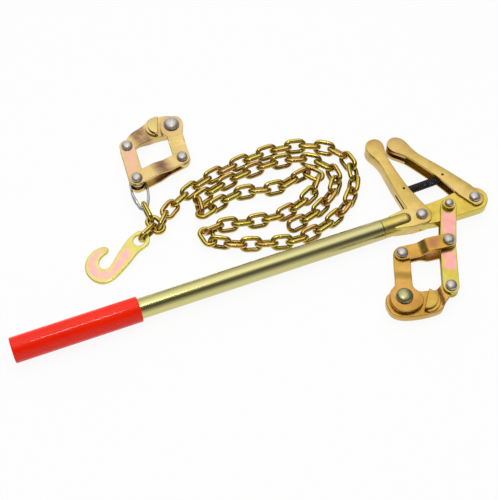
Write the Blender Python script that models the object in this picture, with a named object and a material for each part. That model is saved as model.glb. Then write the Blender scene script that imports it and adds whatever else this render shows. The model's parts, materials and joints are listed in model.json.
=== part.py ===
"""Chain-type fence wire strainer: a lever with a chain dog and a wire gripper, and a loose chain with a second
wire gripper and a hook, laid out on the ground. Sizes below are millimetres, the model is in metres, +Z is up
and +X runs along the handle from the grip to the head."""

import math

import bmesh
import bpy
import numpy as np
from mathutils import Vector

MM = 0.001

# Fits
GAP = 0.3
RIVET_SIDES = 12

# Handle
TUBE_DIA = 22.0
TUBE_WALL = 2.5
TUBE_LENGTH = 404.0
GRIP_WALL = 2.4
GRIP_LENGTH = 135.0
GRIP_END = 2.6
SHANK_DIA = 21.4
SHANK_LENGTH = 27.0
SHANK_NOSE = -19.0
SPIGOT_LENGTH = 40.0
HANDLE_OFFSET = 2.0

# Stack of sheet and forged pieces about the middle plane of the lever
CORE = 5.4
BAR_THICK = 2.8
CHEEK = 2.2

# Head of the lever
PIVOT_PITCH = 31.6
HUB_RADIUS = 10.0
PLATE_EYE = 11.5
PLATE_NOSE = 14.5
ARM_LENGTH = 110.2
DOG_LENGTH = 116.5
DOG_WEB = 3.6
ARM_ANGLE = 96.75
DOG_ANGLE = 117.8
CHAIN_SLOT = 6.4
RIVET_DIA = 8.0
RIVET_HEAD_DIA = 12.6
RIVET_HEAD = 4.0
COLLAR_DIA = 13.6
COLLAR_HEIGHT = 4.0

# Spring between the arm and the dog
SPRING_DIA = 9.0
SPRING_WIRE = 1.4
SPRING_PITCH = 1.95
SPRING_PIN_DIA = 3.2
SPRING_REACH = 37.5

# Wire grippers
BAR_WIDTH = 17.0
PULL_LENGTH = 45.5
PULL_ANGLE = -116.0
HEAD_CROSS = 51.0
HEAD_SIDE = 52.0
HEAD_GRIP_ANGLE = 173.6
CHAIN_CROSS = 57.5
CHAIN_SIDE = 47.5
CHAIN_GRIP_ANGLE = 11.4
GRIP_OPEN = 74.5
BODY_DEPTH = 9.65
JAW_RIVET_HEAD_DIA = 18.0
JAW_RIVET_HEAD = 5.0
LUG_RADIUS = 11.5
LUG_TILT = 29.0
WIRE_GAP = 2.2

# Chain, strap and hook
LINK_WIRE = 5.2
LINK_COUNT = 67
RUN_LINKS = 4
STRAP_THICK = 2.6
STRAP_HEIGHT = 8.4
STRAP_TIP_HEIGHT = 5.4
STRAP_LENGTH = 34.0
STRAP_TOP_R = 7.0
STRAP_ANGLE = 264.3
HOOK_THICK = 4.6
HOOK_EYE_RADIUS = 11.0
HOOK_HOLE_RADIUS = 6.5
HOOK_REACH = 66.5

# Values that follow from the ones above
GRIP_DIA = TUBE_DIA + 2 * (GAP + GRIP_WALL)
BAR_INNER = CORE / 2 + GAP
PLATE_HALF = BAR_INNER + BAR_THICK
CHEEK_INNER = PLATE_HALF + GAP
CHEEK_OUTER = CHEEK_INNER + CHEEK
PULL_OUTER = CHEEK_INNER + BAR_THICK
CROSS_INNER = PULL_OUTER + GAP
STACK = CROSS_INNER + BAR_THICK + GAP
TAIL = max(1.2, GRIP_DIA / 2 - STACK)
MID_Z = STACK + TAIL
RIVET_R = RIVET_DIA / 2
HOLE_R = RIVET_R + GAP + 0.15
JAW_SEAT = GAP / 2
BODY_BOTTOM = -JAW_SEAT - BODY_DEPTH
CHAIN_STACK = CHEEK_INNER + BAR_THICK + GAP
CHAIN_MID_Z = max(-BODY_BOTTOM + GAP + 1.6, CHAIN_STACK + 1.6)
PIN_R = SPRING_PIN_DIA / 2
LINK_PITCH = LINK_WIRE * 3.2
LINK_INNER = LINK_WIRE * 1.56
ROUTE_SCALE = LINK_WIRE / 5.2
LINK_SIDES = 5
LINK_FACET = LINK_WIRE * 0.53
LINK_INWARD = LINK_FACET * math.cos(math.pi / LINK_SIDES)
TUBE_END = SHANK_NOSE - SHANK_LENGTH
TUBE_START = TUBE_END - TUBE_LENGTH

for old in list(bpy.data.objects):
    bpy.data.objects.remove(old, do_unlink=True)


def turn(degrees):
    a = math.radians(degrees)
    return np.array((math.cos(a), math.sin(a)))


def material(name, colour, metallic, roughness):
    mat = bpy.data.materials.new(name)
    mat.use_nodes = True
    shader = mat.node_tree.nodes["Principled BSDF"]
    shader.inputs["Base Color"].default_value = (*colour, 1.0)
    shader.inputs["Metallic"].default_value = metallic
    shader.inputs["Roughness"].default_value = roughness
    return mat


GOLD = (0.62, 0.47, 0.12)
OLIVE = (0.42, 0.35, 0.12)
ROSE = (0.72, 0.42, 0.33)
SILVER = (0.66, 0.61, 0.58)
BLACK = (0.04, 0.035, 0.04)
RED = (0.85, 0.03, 0.01)


def body(name, x, y, z, parent=None):
    """An empty on a joint axis, which carries the pieces that move together."""
    empty = bpy.data.objects.new(name, None)
    bpy.context.scene.collection.objects.link(empty)
    empty.empty_display_size = 0.01
    empty.location = (x * MM, y * MM, z * MM)
    empty["at"] = (x, y, z)
    if parent is not None:
        empty.parent = parent
        empty.location = empty.location - Vector(parent["at"]) * MM
    return empty


def place(obj, parent, name, colour, metallic=1.0, roughness=0.35, smooth=False):
    """Hangs a finished piece, drawn in layout coordinates, on the empty of its body."""
    bpy.context.scene.collection.objects.link(obj)
    obj.parent = parent
    obj.location = -Vector(parent["at"]) * MM
    obj.data.materials.append(material(name, colour, metallic, roughness))
    for face in obj.data.polygons:
        face.use_smooth = smooth
    return obj


def solid(name, points, faces):
    """A mesh from points in millimetres, with its faces turned outward."""
    mesh = bpy.data.meshes.new(name)
    mesh.from_pydata([tuple(v * MM for v in p) for p in points], [], faces)
    shape = bmesh.new()
    shape.from_mesh(mesh)
    bmesh.ops.recalc_face_normals(shape, faces=shape.faces[:])
    shape.to_mesh(mesh)
    shape.free()
    return bpy.data.objects.new(name, mesh)


def prism(name, outline, low, high):
    n = len(outline)
    points = [(x, y, low) for x, y in outline] + [(x, y, high) for x, y in outline]
    faces = [tuple(range(n)), tuple(range(n, 2 * n))]
    faces += [(i, (i + 1) % n, n + (i + 1) % n, n + i) for i in range(n)]
    return solid(name, points, faces)


def strip(name, stations, to_plan):
    """A bar from cross sections (along, left, right, low, high); to_plan maps (along, across) to the layout."""
    points = []
    for along, left, right, low, high in stations:
        a = to_plan(along, left)
        b = to_plan(along, right)
        points += [(*a, low), (*b, low), (*b, high), (*a, high)]
    faces = [(0, 1, 2, 3)]
    for k in range(len(stations) - 1):
        for i in range(4):
            j = (i + 1) % 4
            faces.append((4 * k + i, 4 * k + j, 4 * k + 4 + j, 4 * k + 4 + i))
    last = 4 * len(stations) - 4
    faces.append((last, last + 1, last + 2, last + 3))
    return solid(name, points, faces)


def turned(name, profile, sides, at=(0, 0, 0), along_x=False):
    """A piece of revolution from (radius, height) points, starting and ending on its axis."""
    points = []
    for r, h in profile[1:-1]:
        for k in range(sides):
            a = 2 * math.pi * (k + 0.5) / sides
            points.append((r * math.cos(a), r * math.sin(a), h))
    rings = len(profile) - 2
    points += [(0, 0, profile[0][1]), (0, 0, profile[-1][1])]
    faces = []
    for k in range(sides):
        j = (k + 1) % sides
        faces.append((rings * sides, j, k))
        faces.append((rings * sides + 1, (rings - 1) * sides + k, (rings - 1) * sides + j))
        for i in range(rings - 1):
            faces.append((i * sides + k, i * sides + j, (i + 1) * sides + j, (i + 1) * sides + k))
    if along_x:
        points = [(z, x, y) for x, y, z in points]
    points = [(x + at[0], y + at[1], z + at[2]) for x, y, z in points]
    return solid(name, points, faces)


def ring(name, outer, inner, low, high, sides, at):
    """A plain tube standing on +Z."""
    points = []
    for r, h in ((outer, low), (outer, high), (inner, high), (inner, low)):
        for k in range(sides):
            a = 2 * math.pi * k / sides
            points.append((at[0] + r * math.cos(a), at[1] + r * math.sin(a), at[2] + h))
    faces = []
    for i in range(4):
        for k in range(sides):
            j = (k + 1) % sides
            m = (i + 1) % 4
            faces.append((i * sides + k, i * sides + j, m * sides + j, m * sides + k))
    return solid(name, points, faces)


def helper(obj):
    bpy.context.scene.collection.objects.link(obj)
    obj.parent = root
    obj.hide_render = True
    obj.display_type = "WIRE"
    return obj


def combine(target, other, how):
    step = target.modifiers.new(other.name, "BOOLEAN")
    step.operation = how
    step.solver = "EXACT"
    step.object = other


def cut(target, cutter):
    combine(target, cutter, "DIFFERENCE")


def join(target, piece):
    combine(target, piece, "UNION")


def drill(target, at, radius, z):
    """A bore along +Z through the whole stack."""
    cut(target, helper(prism("bore_" + target.name, circle(at, radius, RIVET_SIDES), z - 40, z + 40)))


def circle(at, radius, sides, start=0.0, end=360.0):
    if end - start >= 360:
        angles = [start + 360 * k / sides for k in range(sides)]
    else:
        angles = [start + (end - start) * k / (sides - 1) for k in range(sides)]
    return [tuple(np.array(at) + radius * turn(a)) for a in angles]


def rounded(corners, rounds=2):
    """A closed outline with its corners cut back evenly."""
    pts = [np.array(p, float) for p in corners]
    for _ in range(rounds):
        nxt = []
        for i, p in enumerate(pts):
            q = pts[(i + 1) % len(pts)]
            nxt.append(p * 0.75 + q * 0.25)
            nxt.append(p * 0.25 + q * 0.75)
        pts = nxt
    return [tuple(p) for p in pts]


def rivet(name, parent, at, mid, low, high, tail, head=RIVET_HEAD, head_dia=RIVET_HEAD_DIA, colour=SILVER):
    """A rivet with a domed head above and a flatter closing head below its stack."""
    r = RIVET_R
    hr = head_dia / 2
    profile = [
        (0, low - tail),
        (hr * 0.75, low - tail),
        (hr * 0.92, low),
        (r, low),
        (r, high),
        (hr, high),
        (hr * 0.9, high + head * 0.5),
        (hr * 0.5, high + head * 0.9),
        (0, high + head),
    ]
    obj = turned(name, profile, RIVET_SIDES, (*at, mid))
    return place(obj, parent, name, colour, 1.0, 0.3, True)


def round_end(half, side):
    """Stations of a half-round bar end: (offset along, half width)."""
    angles = (8, 30, 52, 72, 90)
    ends = [(-half * math.cos(math.radians(a)), half * math.sin(math.radians(a))) for a in angles]
    return ends if side < 0 else [(-x, w) for x, w in reversed(ends)]


def flat_bar(name, a, b, half, low, high):
    """A flat bar with round ends about two pivots."""
    a = np.array(a)
    b = np.array(b)
    length = np.linalg.norm(b - a)
    u = (b - a) / length
    v = np.array((-u[1], u[0]))
    stations = [(x, -w, w, low, high) for x, w in round_end(half, -1)]
    stations += [(length + x, -w, w, low, high) for x, w in round_end(half, 1)]
    return strip(name, stations, lambda s, c: tuple(a + u * s + v * c))


# Bodies of the lever: each empty stands on its joint axis
Q = np.array((0.0, 0.0))
P = np.array((PIVOT_PITCH, 0.0))
R = np.array((2 * PIVOT_PITCH, 0.0))
A1 = P + PULL_LENGTH * turn(PULL_ANGLE)

root = body("strainer", 0, 0, 0)
handle = body("handle", 0, 0, MID_Z, root)
plate_body = body("draw_plate_pivot", *Q, MID_Z, handle)
dog_body = body("chain_dog_pivot", *R, MID_Z, plate_body)
pull_body = body("pull_link_pivot", *P, MID_Z, plate_body)

# Handle tube with its dipped grip
tube_in = TUBE_DIA / 2 - TUBE_WALL
axis = (0, HANDLE_OFFSET, MID_Z)


def pipe_x(name, outer, inner, start, end, sides):
    points = []
    for r, x in ((outer, start), (outer, end), (inner, end), (inner, start)):
        for k in range(sides):
            a = 2 * math.pi * (k + 0.5) / sides
            points.append((x, axis[1] + r * math.cos(a), axis[2] + r * math.sin(a)))
    faces = []
    for i in range(4):
        m = (i + 1) % 4
        for k in range(sides):
            j = (k + 1) % sides
            faces.append((i * sides + k, i * sides + j, m * sides + j, m * sides + k))
    return solid(name, points, faces)


tube = pipe_x("handle_tube", TUBE_DIA / 2, tube_in, TUBE_START, TUBE_END, 24)
place(tube, handle, "handle_tube", OLIVE, 1.0, 0.4, False)

grip_r = GRIP_DIA / 2
bore_r = TUBE_DIA / 2 + GAP
grip_out = TUBE_START - GAP - GRIP_END
grip_in = grip_out + GRIP_LENGTH
grip = turned(
    "grip_sleeve",
    [
        (0, grip_out),
        (grip_r - 2.2, grip_out),
        (grip_r - 0.6, grip_out + 0.6),
        (grip_r, grip_out + 2.0),
        (grip_r, grip_in - 0.8),
        (grip_r - 0.7, grip_in),
        (bore_r, grip_in),
        (bore_r, TUBE_START - GAP),
        (0, TUBE_START - GAP),
    ],
    24,
    axis,
    True,
)
place(grip, handle, "grip_sleeve", RED, 0.0, 0.25, False)

# Head forging: round shank that flattens into a fork with one fixed chain arm
arm_u = turn(ARM_ANGLE)
arm_out = turn(ARM_ANGLE + 90)
dog_u = turn(DOG_ANGLE)
dog_out = turn(DOG_ANGLE - 90)
DRAWN_LENGTH = 114.0


def on_arm(a, c):
    return tuple(Q + arm_u * a + arm_out * c)


def on_dog(a, c):
    return tuple(R + dog_u * a + dog_out * c)


OUTER_SIDE = ((14, 10.2), (40, 9.2), (60, 7.6), (79, 5.4), (90, 6.8), (100, 9.8), (108, 9.2), (114, 4.5))
INNER_SIDE = ((115, -3.5), (111, -9.8), (103, -11.4), (95, -8.6), (86, -5.8), (60, -5.2), (38, -5.4), (14, -8.8))


def dog_sides(to_plan, size):
    """Both sides of a chain dog, from the hub along the outer side, round the broad nose and back."""
    shape = [np.array((x * size, y)) for x, y in OUTER_SIDE + INNER_SIDE]
    soft = [shape[0]]
    for p, q in zip(shape, shape[1:]):
        soft += [p * 0.75 + q * 0.25, p * 0.25 + q * 0.75]
    return [to_plan(x, y) for x, y in soft + [shape[-1]]]


def channel(name, to_plan, clear, size):
    """The open inside of a dog: it leaves a web along the outer side and a solid nose."""
    web = [(x * size, y - DOG_WEB) for x, y in OUTER_SIDE[:4]] + [(87 * size, 4.0 - DOG_WEB)]
    begin = math.degrees(math.asin(web[0][1] / clear))
    shape = list(reversed(circle((0, 0), clear, 18, begin, 270))) + web + [(87 * size, -30), (0, -30)]
    return prism(name, [to_plan(x, y) for x, y in shape], MID_Z - CHEEK_INNER, MID_Z + CHEEK_INNER)


def nose_slot(name, to_plan, size):
    """Slot in the nose for the chain links that lie edge up."""
    half = CHAIN_SLOT / 2
    shape = [(84 * size, -1.0), (118 * size, -1.0), (118 * size, -16), (84 * size, -16)]
    return prism(name, [to_plan(a, c) for a, c in shape], MID_Z - half, MID_Z + half)


arm_size = ARM_LENGTH / DRAWN_LENGTH
dog_size = DOG_LENGTH / DRAWN_LENGTH
half_shank = SHANK_DIA / 2
head_outline = dog_sides(on_arm, arm_size)
head_outline += list(reversed(circle(Q, HUB_RADIUS + 1.0, 9, 262, 382)))
head_outline += [
    (-14, -HUB_RADIUS - 0.6),
    (TUBE_END + 12, HANDLE_OFFSET - half_shank * 0.8),
    (TUBE_END + 12, HANDLE_OFFSET + half_shank * 0.8),
    (-15, HANDLE_OFFSET + half_shank + 0.4),
]
head = prism("head_forging", head_outline, MID_Z - CHEEK_OUTER, MID_Z + CHEEK_OUTER)
nose = [(half_shank * math.cos(math.radians(a)), SHANK_NOSE + half_shank * math.sin(math.radians(a)))
        for a in (0, 20, 40, 58, 74)]
shank_profile = [(0, TUBE_END - SPIGOT_LENGTH), (tube_in - GAP - 0.8, TUBE_END - SPIGOT_LENGTH)]
shank_profile += [(tube_in - GAP, TUBE_END - SPIGOT_LENGTH + 1.5), (tube_in - GAP, TUBE_END + GAP)]
shank_profile += [(half_shank, TUBE_END + GAP)] + nose + [(0, SHANK_NOSE + half_shank)]
join(head, helper(turned("head_shank", shank_profile, 24, axis, True)))
cut(head, helper(channel("head_channel", on_arm, PLATE_EYE + GAP + 0.5, arm_size)))
cut(head, helper(nose_slot("head_nose_slot", on_arm, arm_size)))
window = [on_arm(18, 2), on_arm(18, 16), on_arm(38, 16), on_arm(38, 2)]
cut(head, helper(prism("head_window", window, MID_Z - 1.9, MID_Z + 1.9)))
drill(head, Q, HOLE_R, MID_Z)

# Draw plate between the fork of the handle and the dog
plate = prism(
    "draw_plate",
    circle(Q, PLATE_EYE, 11, 100, 250)
    + [(12, -13.6), (PIVOT_PITCH, -13.9)]
    + circle(R, PLATE_NOSE, 9, -80, 62)
    + [(2 * PIVOT_PITCH - 10, 15.6), (2 * PIVOT_PITCH - 20, 14.6), (PIVOT_PITCH, 12.4), (14, 11.6)],
    MID_Z - PLATE_HALF,
    MID_Z + PLATE_HALF,
)
place(plate, plate_body, "draw_plate", GOLD)
for spot in (Q, P, R):
    drill(plate, spot, HOLE_R, MID_Z)

# Swinging chain dog, the mirror twin of the fixed arm
dog_outline = dog_sides(on_dog, dog_size)
dog_outline += [on_dog(x, y) for x, y in reversed(circle((0, 0), HUB_RADIUS, 8, 125, 235))]
dog = prism("chain_dog", dog_outline, MID_Z - CHEEK_OUTER, MID_Z + CHEEK_OUTER)
cut(dog, helper(channel("dog_channel", on_dog, PLATE_NOSE + GAP + 0.5, dog_size)))
cut(dog, helper(nose_slot("dog_nose_slot", on_dog, dog_size)))
drill(dog, R, HOLE_R, MID_Z)

rivet("rivet_fork", handle, Q, MID_Z, -CHEEK_OUTER - GAP, CHEEK_OUTER + GAP, 3.0)
rivet("rivet_dog", dog_body, R, MID_Z, -CHEEK_OUTER - GAP, CHEEK_OUTER + GAP, 3.0)
collar_low = PULL_OUTER + GAP
collar_high = collar_low + COLLAR_HEIGHT
rivet("pivot_pin", pull_body, P, MID_Z, -PULL_OUTER - GAP, collar_high + GAP, 3.0, 3.2, 9.6)
collar = ring("pivot_collar", COLLAR_DIA / 2, HOLE_R, collar_low, collar_high, RIVET_SIDES, (*P, MID_Z))
place(collar, pull_body, "pivot_collar", GOLD)

# Spring with a hook round a pin at each end, lying in the two open channels
pin_arm = Q + np.array((0.0, SPRING_REACH)) + np.array((-4.0, 0.0))
pin_dog = R + dog_u * 43.0 * dog_size + dog_out * 0.5
span = pin_dog - pin_arm
span_len = np.linalg.norm(span)
su = span / span_len
sv = np.array((-su[1], su[0]))
for name, spot, target, parent in (
    ("spring_pin_arm", pin_arm, head, handle),
    ("spring_pin_dog", pin_dog, dog, dog_body),
):
    drill(target, spot, PIN_R + GAP, MID_Z)
    reach = CHEEK_OUTER + 0.2
    ends = [(0, -reach), (PIN_R - 0.3, -reach), (PIN_R, -reach + 0.3), (PIN_R, reach - 0.3), (PIN_R - 0.3, reach),
            (0, reach)]
    place(turned(name, ends, 10, (*spot, MID_Z)), parent, name, OLIVE, 1.0, 0.4, True)
place(head, handle, "head_forging", GOLD)
place(dog, dog_body, "chain_dog", GOLD)

HOOK_R = PIN_R + GAP + SPRING_WIRE / 2
COIL_R = (SPRING_DIA - SPRING_WIRE) / 2
coil_start = HOOK_R + SPRING_WIRE + 3.0
coil_len = span_len - 2 * coil_start
turns = int(coil_len / SPRING_PITCH)
STEPS = 8


def spring_points():
    """Centre line of the spring wire: hook, coil, hook, in its own (along, across, up) axes."""
    first = []
    for k in range(10):
        a = math.radians(-230 + 205 * k / 9)
        first.append((HOOK_R * math.cos(a), HOOK_R * math.sin(a), 0.0))
    first.append((HOOK_R + 1.5, 0.6, 0.6))
    first.append((coil_start - 0.8, COIL_R * 0.55, COIL_R * 0.35))
    coil = []
    for k in range(turns * STEPS + 1):
        a = 2 * math.pi * k / STEPS + math.radians(35)
        x = coil_start + coil_len * k / (turns * STEPS)
        coil.append((x, COIL_R * math.cos(a), COIL_R * math.sin(a)))
    last = [(span_len - x, -y, z) for x, y, z in reversed(first)]
    first_turn = coil[0]
    end_turn = coil[-1]
    last[0] = (last[0][0], end_turn[1] * 0.68, end_turn[2] * 0.6)
    first[-1] = (first[-1][0], first_turn[1] * 0.68, first_turn[2] * 0.6)
    return [np.array(p) for p in first + coil + last]


def wire(name, path, radius, sides):
    """One unbroken round wire along a path, closed at both ends."""
    path = [np.array(p, float) for p in path]
    points = []
    up = np.array((0.0, 0.0, 1.0))
    for i, p in enumerate(path):
        t = path[min(i + 1, len(path) - 1)] - path[max(i - 1, 0)]
        t /= np.linalg.norm(t)
        up = up - t * (up @ t)
        up /= np.linalg.norm(up)
        side = np.cross(t, up)
        for k in range(sides):
            a = 2 * math.pi * k / sides
            points.append(tuple(p + radius * (math.cos(a) * up + math.sin(a) * side)))
    faces = [tuple(range(sides))]
    for i in range(len(path) - 1):
        for k in range(sides):
            j = (k + 1) % sides
            faces.append((i * sides + k, i * sides + j, (i + 1) * sides + j, (i + 1) * sides + k))
    faces.append(tuple((len(path) - 1) * sides + k for k in range(sides)))
    return solid(name, points, faces)


local = spring_points()
path = [np.array((*(pin_arm + su * x + sv * y), MID_Z + z)) for x, y, z in local]
place(wire("dog_spring", path, SPRING_WIRE / 2, 6), handle, "dog_spring", BLACK, 0.6, 0.4, True)
apart = math.inf
for i in range(len(path)):
    far = [np.linalg.norm(path[i] - path[j]) for j in range(i + 5, len(path))]
    apart = min([apart] + far)
print("least gap of the spring to itself, mm:", round(apart - SPRING_WIRE, 2))

# Pull link: two flat bars from the draw plate to the head gripper
half = BAR_WIDTH / 2
for name, sign in (("pull_link_upper", 1), ("pull_link_lower", -1)):
    low, high = sorted((sign * CHEEK_INNER, sign * PULL_OUTER))
    bar = flat_bar(name, P, A1, half, MID_Z + low, MID_Z + high)
    drill(bar, P, HOLE_R, MID_Z)
    drill(bar, A1, HOLE_R, MID_Z)
    place(bar, pull_body, name, ROSE)


def gripper(tag, a, angle, cross, side, cross_inner, mid, hang, tail_a, hub, edges, reach, lug_shift):
    """A wire gripper: two pairs of bars, a jaw lever and a jaw body about four rivets A, B, C and D."""
    u = turn(angle)
    v = turn(angle + GRIP_OPEN)
    b = a + cross * u
    d = a + side * v
    c = b + side * v
    side_body = body(tag + "_side_pivot", *a, mid, hang)
    cross_body = body(tag + "_cross_pivot", *a, mid, side_body)
    jaw_body = body(tag + "_jaw_pivot", *b, mid, cross_body)
    base_body = body(tag + "_body_pivot", *d, mid, side_body)

    for level, sign in (("upper", 1), ("lower", -1)):
        name = f"{tag}_side_bar_{level}"
        low, high = sorted((sign * BAR_INNER, sign * PLATE_HALF))
        bar = flat_bar(name, a, d, half, mid + low, mid + high)
        drill(bar, a, HOLE_R, mid)
        drill(bar, d, HOLE_R, mid)
        place(bar, side_body, name, ROSE)

        name = f"{tag}_cross_bar_{level}"
        w = half - 0.4
        stations = []
        for x, h in round_end(w, -1):
            stations.append((x, -h, h, cross_inner))
        stations.append((cross * 0.44, -w, w, cross_inner))
        stations.append((cross * 0.66, -w, w, BAR_INNER))
        for x, h in round_end(w, 1):
            stations.append((cross + x, -h, h, BAR_INNER))
        cuts = []
        for x, left, right, z in stations:
            low, high = sorted((sign * z, sign * (z + BAR_THICK)))
            cuts.append((x, left, right, mid + low, mid + high))
        n = np.array((-u[1], u[0]))
        bar = strip(name, cuts, lambda s, t: tuple(a + u * s + n * t))
        drill(bar, a, HOLE_R, mid)
        drill(bar, b, HOLE_R, mid)
        place(bar, cross_body, name, GOLD)

    # Jaw lever: from rivet B over the body to the cam hub about rivet C
    w = half + 0.5
    toward = np.array((v[1], -v[0]))
    low, high = -CORE / 2, CORE / 2
    seat, top = JAW_SEAT, JAW_SEAT + CORE
    stations = [(x, -h, h, low, high) for x, h in round_end(w, -1)]
    stations.append((side * 0.40, -w, w, low, high))
    stations.append((side * 0.62, -w, w, seat, top))
    stations.append((side + hub[0][0] - 3.5, -w, w, seat, top))
    stations += [(side + x, -l, r, seat, top) for x, l, r in hub]
    cuts = [(x, l, r, mid + zl, mid + zh) for x, l, r, zl, zh in stations]
    jaw = strip(f"{tag}_jaw_lever", cuts, lambda s, t: tuple(b + v * s - toward * t))
    drill(jaw, b, HOLE_R, mid)
    drill(jaw, c, HOLE_R + 0.1, mid)
    place(jaw, jaw_body, f"{tag}_jaw_lever", GOLD)

    # Jaw body: a deep forging under the hub, with a half-moon lug, that steps up to rivet D
    out = np.array((-u[1], u[0]))
    deep = BODY_BOTTOM
    flush = -JAW_SEAT
    step = max(edges[-1][0] + 4.5, cross - half - 2.0)
    stations = [(e, i, o, deep, flush) for e, i, o in edges]
    stations.append((step, -4.2, 15.0, low, high))
    for x, h in round_end(half - 0.3, 1):
        stations.append((cross + x, -h, h, low, high))
    cuts = [(e, i, o, mid + zl, mid + zh) for e, i, o, zl, zh in stations]
    base = strip(f"{tag}_jaw_body", cuts, lambda e, o: tuple(c - u * e + out * o))

    def on_body(e, o):
        return tuple(c - u * e + out * o)

    away = turn(LUG_TILT)
    beside = turn(LUG_TILT + 90)

    def on_lug(x, y):
        return on_body(*(away * x + beside * y))

    lug_face = reach + WIRE_GAP
    moon = [on_lug(lug_face + x, lug_shift + y) for x, y in circle((0, 0), LUG_RADIUS, 13, -90, 90)]
    join(base, helper(prism(f"{tag}_lug", moon, mid + flush - 1.0, mid + top + 0.3)))
    brim = circle((0, 0), LUG_RADIUS + 1.5, 13, -82, 82)
    brim = [on_lug(lug_face + 1.5 + x, lug_shift + 0.4 + y) for x, y in brim]
    join(base, helper(prism(f"{tag}_lug_rim", brim, mid + flush - 1.5, mid + 2.4)))
    drill(base, c, HOLE_R, mid)
    drill(base, d, HOLE_R, mid)
    place(base, base_body, f"{tag}_jaw_body", GOLD)

    bar_face = PLATE_HALF + GAP
    cross_face = cross_inner + BAR_THICK + GAP
    rivet(f"{tag}_rivet_a", cross_body, a, mid, -cross_face, cross_face, tail_a)
    rivet(f"{tag}_rivet_b", cross_body, b, mid, -bar_face, bar_face, 2.6)
    rivet(f"{tag}_rivet_d", side_body, d, mid, -bar_face, bar_face, 2.6)
    big = JAW_RIVET_HEAD_DIA
    rivet(f"{tag}_rivet_c", base_body, c, mid, deep - GAP, top + GAP, 1.6, JAW_RIVET_HEAD, big, OLIVE)
    return b, c, d


# Cam hub of the head gripper as (along, left, right) about rivet C, and its jaw body as (along, inner, outer)
HEAD_HUB = ((-10, 11.5, 10.5), (-6, 14.6, 16), (0, 15, 19.6), (6, 14.2, 19.8), (11, 11.8, 16.6), (15, 8, 11),
            (17.4, 3, 4.5))
HEAD_EDGES = ((-19.5, -1, 5), (-18.2, -6, 12), (-13, -10.5, 17.5), (-5, -11.8, 21), (8, -8.5, 23), (20, -4.2, 23.4),
              (30.8, -3.2, 22.6), (35.8, -1.6, 20.8))
HEAD_REACH = 20.7
gripper("head_grip", A1, HEAD_GRIP_ANGLE, HEAD_CROSS, HEAD_SIDE, CROSS_INNER, MID_Z, pull_body, TAIL, HEAD_HUB,
        HEAD_EDGES, HEAD_REACH, -4.0)

# Chain set: a loose piece of its own beside the lever. Its route is measured from the corner that the
# handle and the fixed arm leave free, and grows with the wire, away from both.
corner = np.array((-30.0, HANDLE_OFFSET + TUBE_DIA / 2))
ROUTE = (
    (-244.0, 107.4, 0.5, 0),
    (-242.0, 90.0, 0.5, 0),
    (-235.0, 74.0, 0.0, 0),
    (-226.0, 87.5, 0.0, 8),
    (-211.5, 102.0, 0.0, 30),
    (-190.0, 113.5, 0.0, 45),
    (-167.0, 121.5, 0.0, 45),
    (-143.0, 126.5, 0.0, 45),
    (-119.0, 130.0, 0.0, 45),
    (-97.0, 131.5, 0.0, 45),
    (-76.0, 131.0, 0.0, 45),
    (-54.0, 127.0, 0.0, 45),
    (-36.0, 119.0, 0.0, 45),
    (-21.0, 108.0, 0.0, 45),
    (-12.0, 94.0, 0.0, 45),
    (-10.5, 78.0, 0.0, 45),
    (-15.5, 61.0, 0.0, 45),
    (-26.0, 44.5, 0.0, 45),
    (-42.0, 30.5, 0.0, 45),
    (-60.0, 21.5, 0.0, 45),
    (-80.0, 15.5, 0.0, 45),
    (-100.0, 12.5, 0.0, 45),
    (-118.0, 14.5, 0.0, 45),
    (-134.0, 19.5, 0.0, 45),
    (-150.0, 24.5, 0.0, 45),
    (-166.0, 30.0, 0.0, 45),
    (-180.0, 37.0, 0.0, 30),
    (-192.0, 43.5, 0.0, 0),
    (-198.0, 51.0, 0.0, 0),
    (-193.0, 58.0, 0.0, 0),
    (-182.0, 59.5, 0.0, 15),
    (-168.0, 57.5, 0.0, 45),
    (-153.0, 54.0, 0.0, 45),
    (-138.0, 50.5, 0.0, 45),
    (-122.0, 48.5, 0.0, 45),
    (-106.0, 48.0, 0.0, 45),
    (-90.0, 52.0, 0.0, 45),
    (-77.0, 57.0, 0.0, 45),
    (-64.0, 63.5, 0.0, 40),
    (-55.0, 71.5, 0.0, 10),
    (-52.0, 80.5, 0.0, 0),
    (-57.5, 88.5, 0.0, 0),
    (-67.0, 91.5, 0.0, 10),
    (-79.0, 88.0, 0.0, 35),
    (-92.0, 83.0, 0.0, 45),
    (-107.0, 83.5, 0.0, 45),
    (-126.0, 89.0, 0.0, 45),
    (-145.0, 91.0, 0.0, 45),
    (-163.0, 87.0, 0.0, 45),
    (-177.0, 82.5, 0.0, 30),
    (-190.0, 78.0, 0.0, 5),
    (-200.0, 76.5, 0.0, 0),
    (-205.0, 82.0, 0.0, 0),
    (-201.0, 88.5, 0.0, 0),
    (-191.5, 93.0, 0.0, 20),
    (-179.0, 99.5, 0.0, 45),
    (-163.0, 106.0, 0.0, 45),
    (-143.0, 111.0, 0.0, 45),
    (-122.0, 114.0, 0.0, 45),
    (-100.0, 115.5, 0.0, 45),
    (-80.0, 114.5, 0.0, 45),
    (-62.0, 110.5, 0.0, 45),
    (-47.0, 102.0, 0.0, 45),
    (-36.0, 90.0, 0.0, 45),
    (-31.0, 77.0, 0.0, 45),
    (-36.0, 64.0, 0.0, 45),
    (-50.0, 50.5, 0.0, 45),
    (-68.0, 39.5, 0.0, 45),
    (-86.0, 33.5, 0.0, 45),
    (-104.0, 30.5, 0.0, 45),
)
REST_SIDE = (LINK_INNER + LINK_WIRE) / 2


def rest_height(tilt):
    """Centre height at which links tilted this way, and their neighbours a quarter turn on, touch the ground."""
    a = math.radians(tilt)
    return REST_SIDE * max(abs(math.sin(a)), abs(math.cos(a))) + LINK_WIRE / 2


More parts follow.
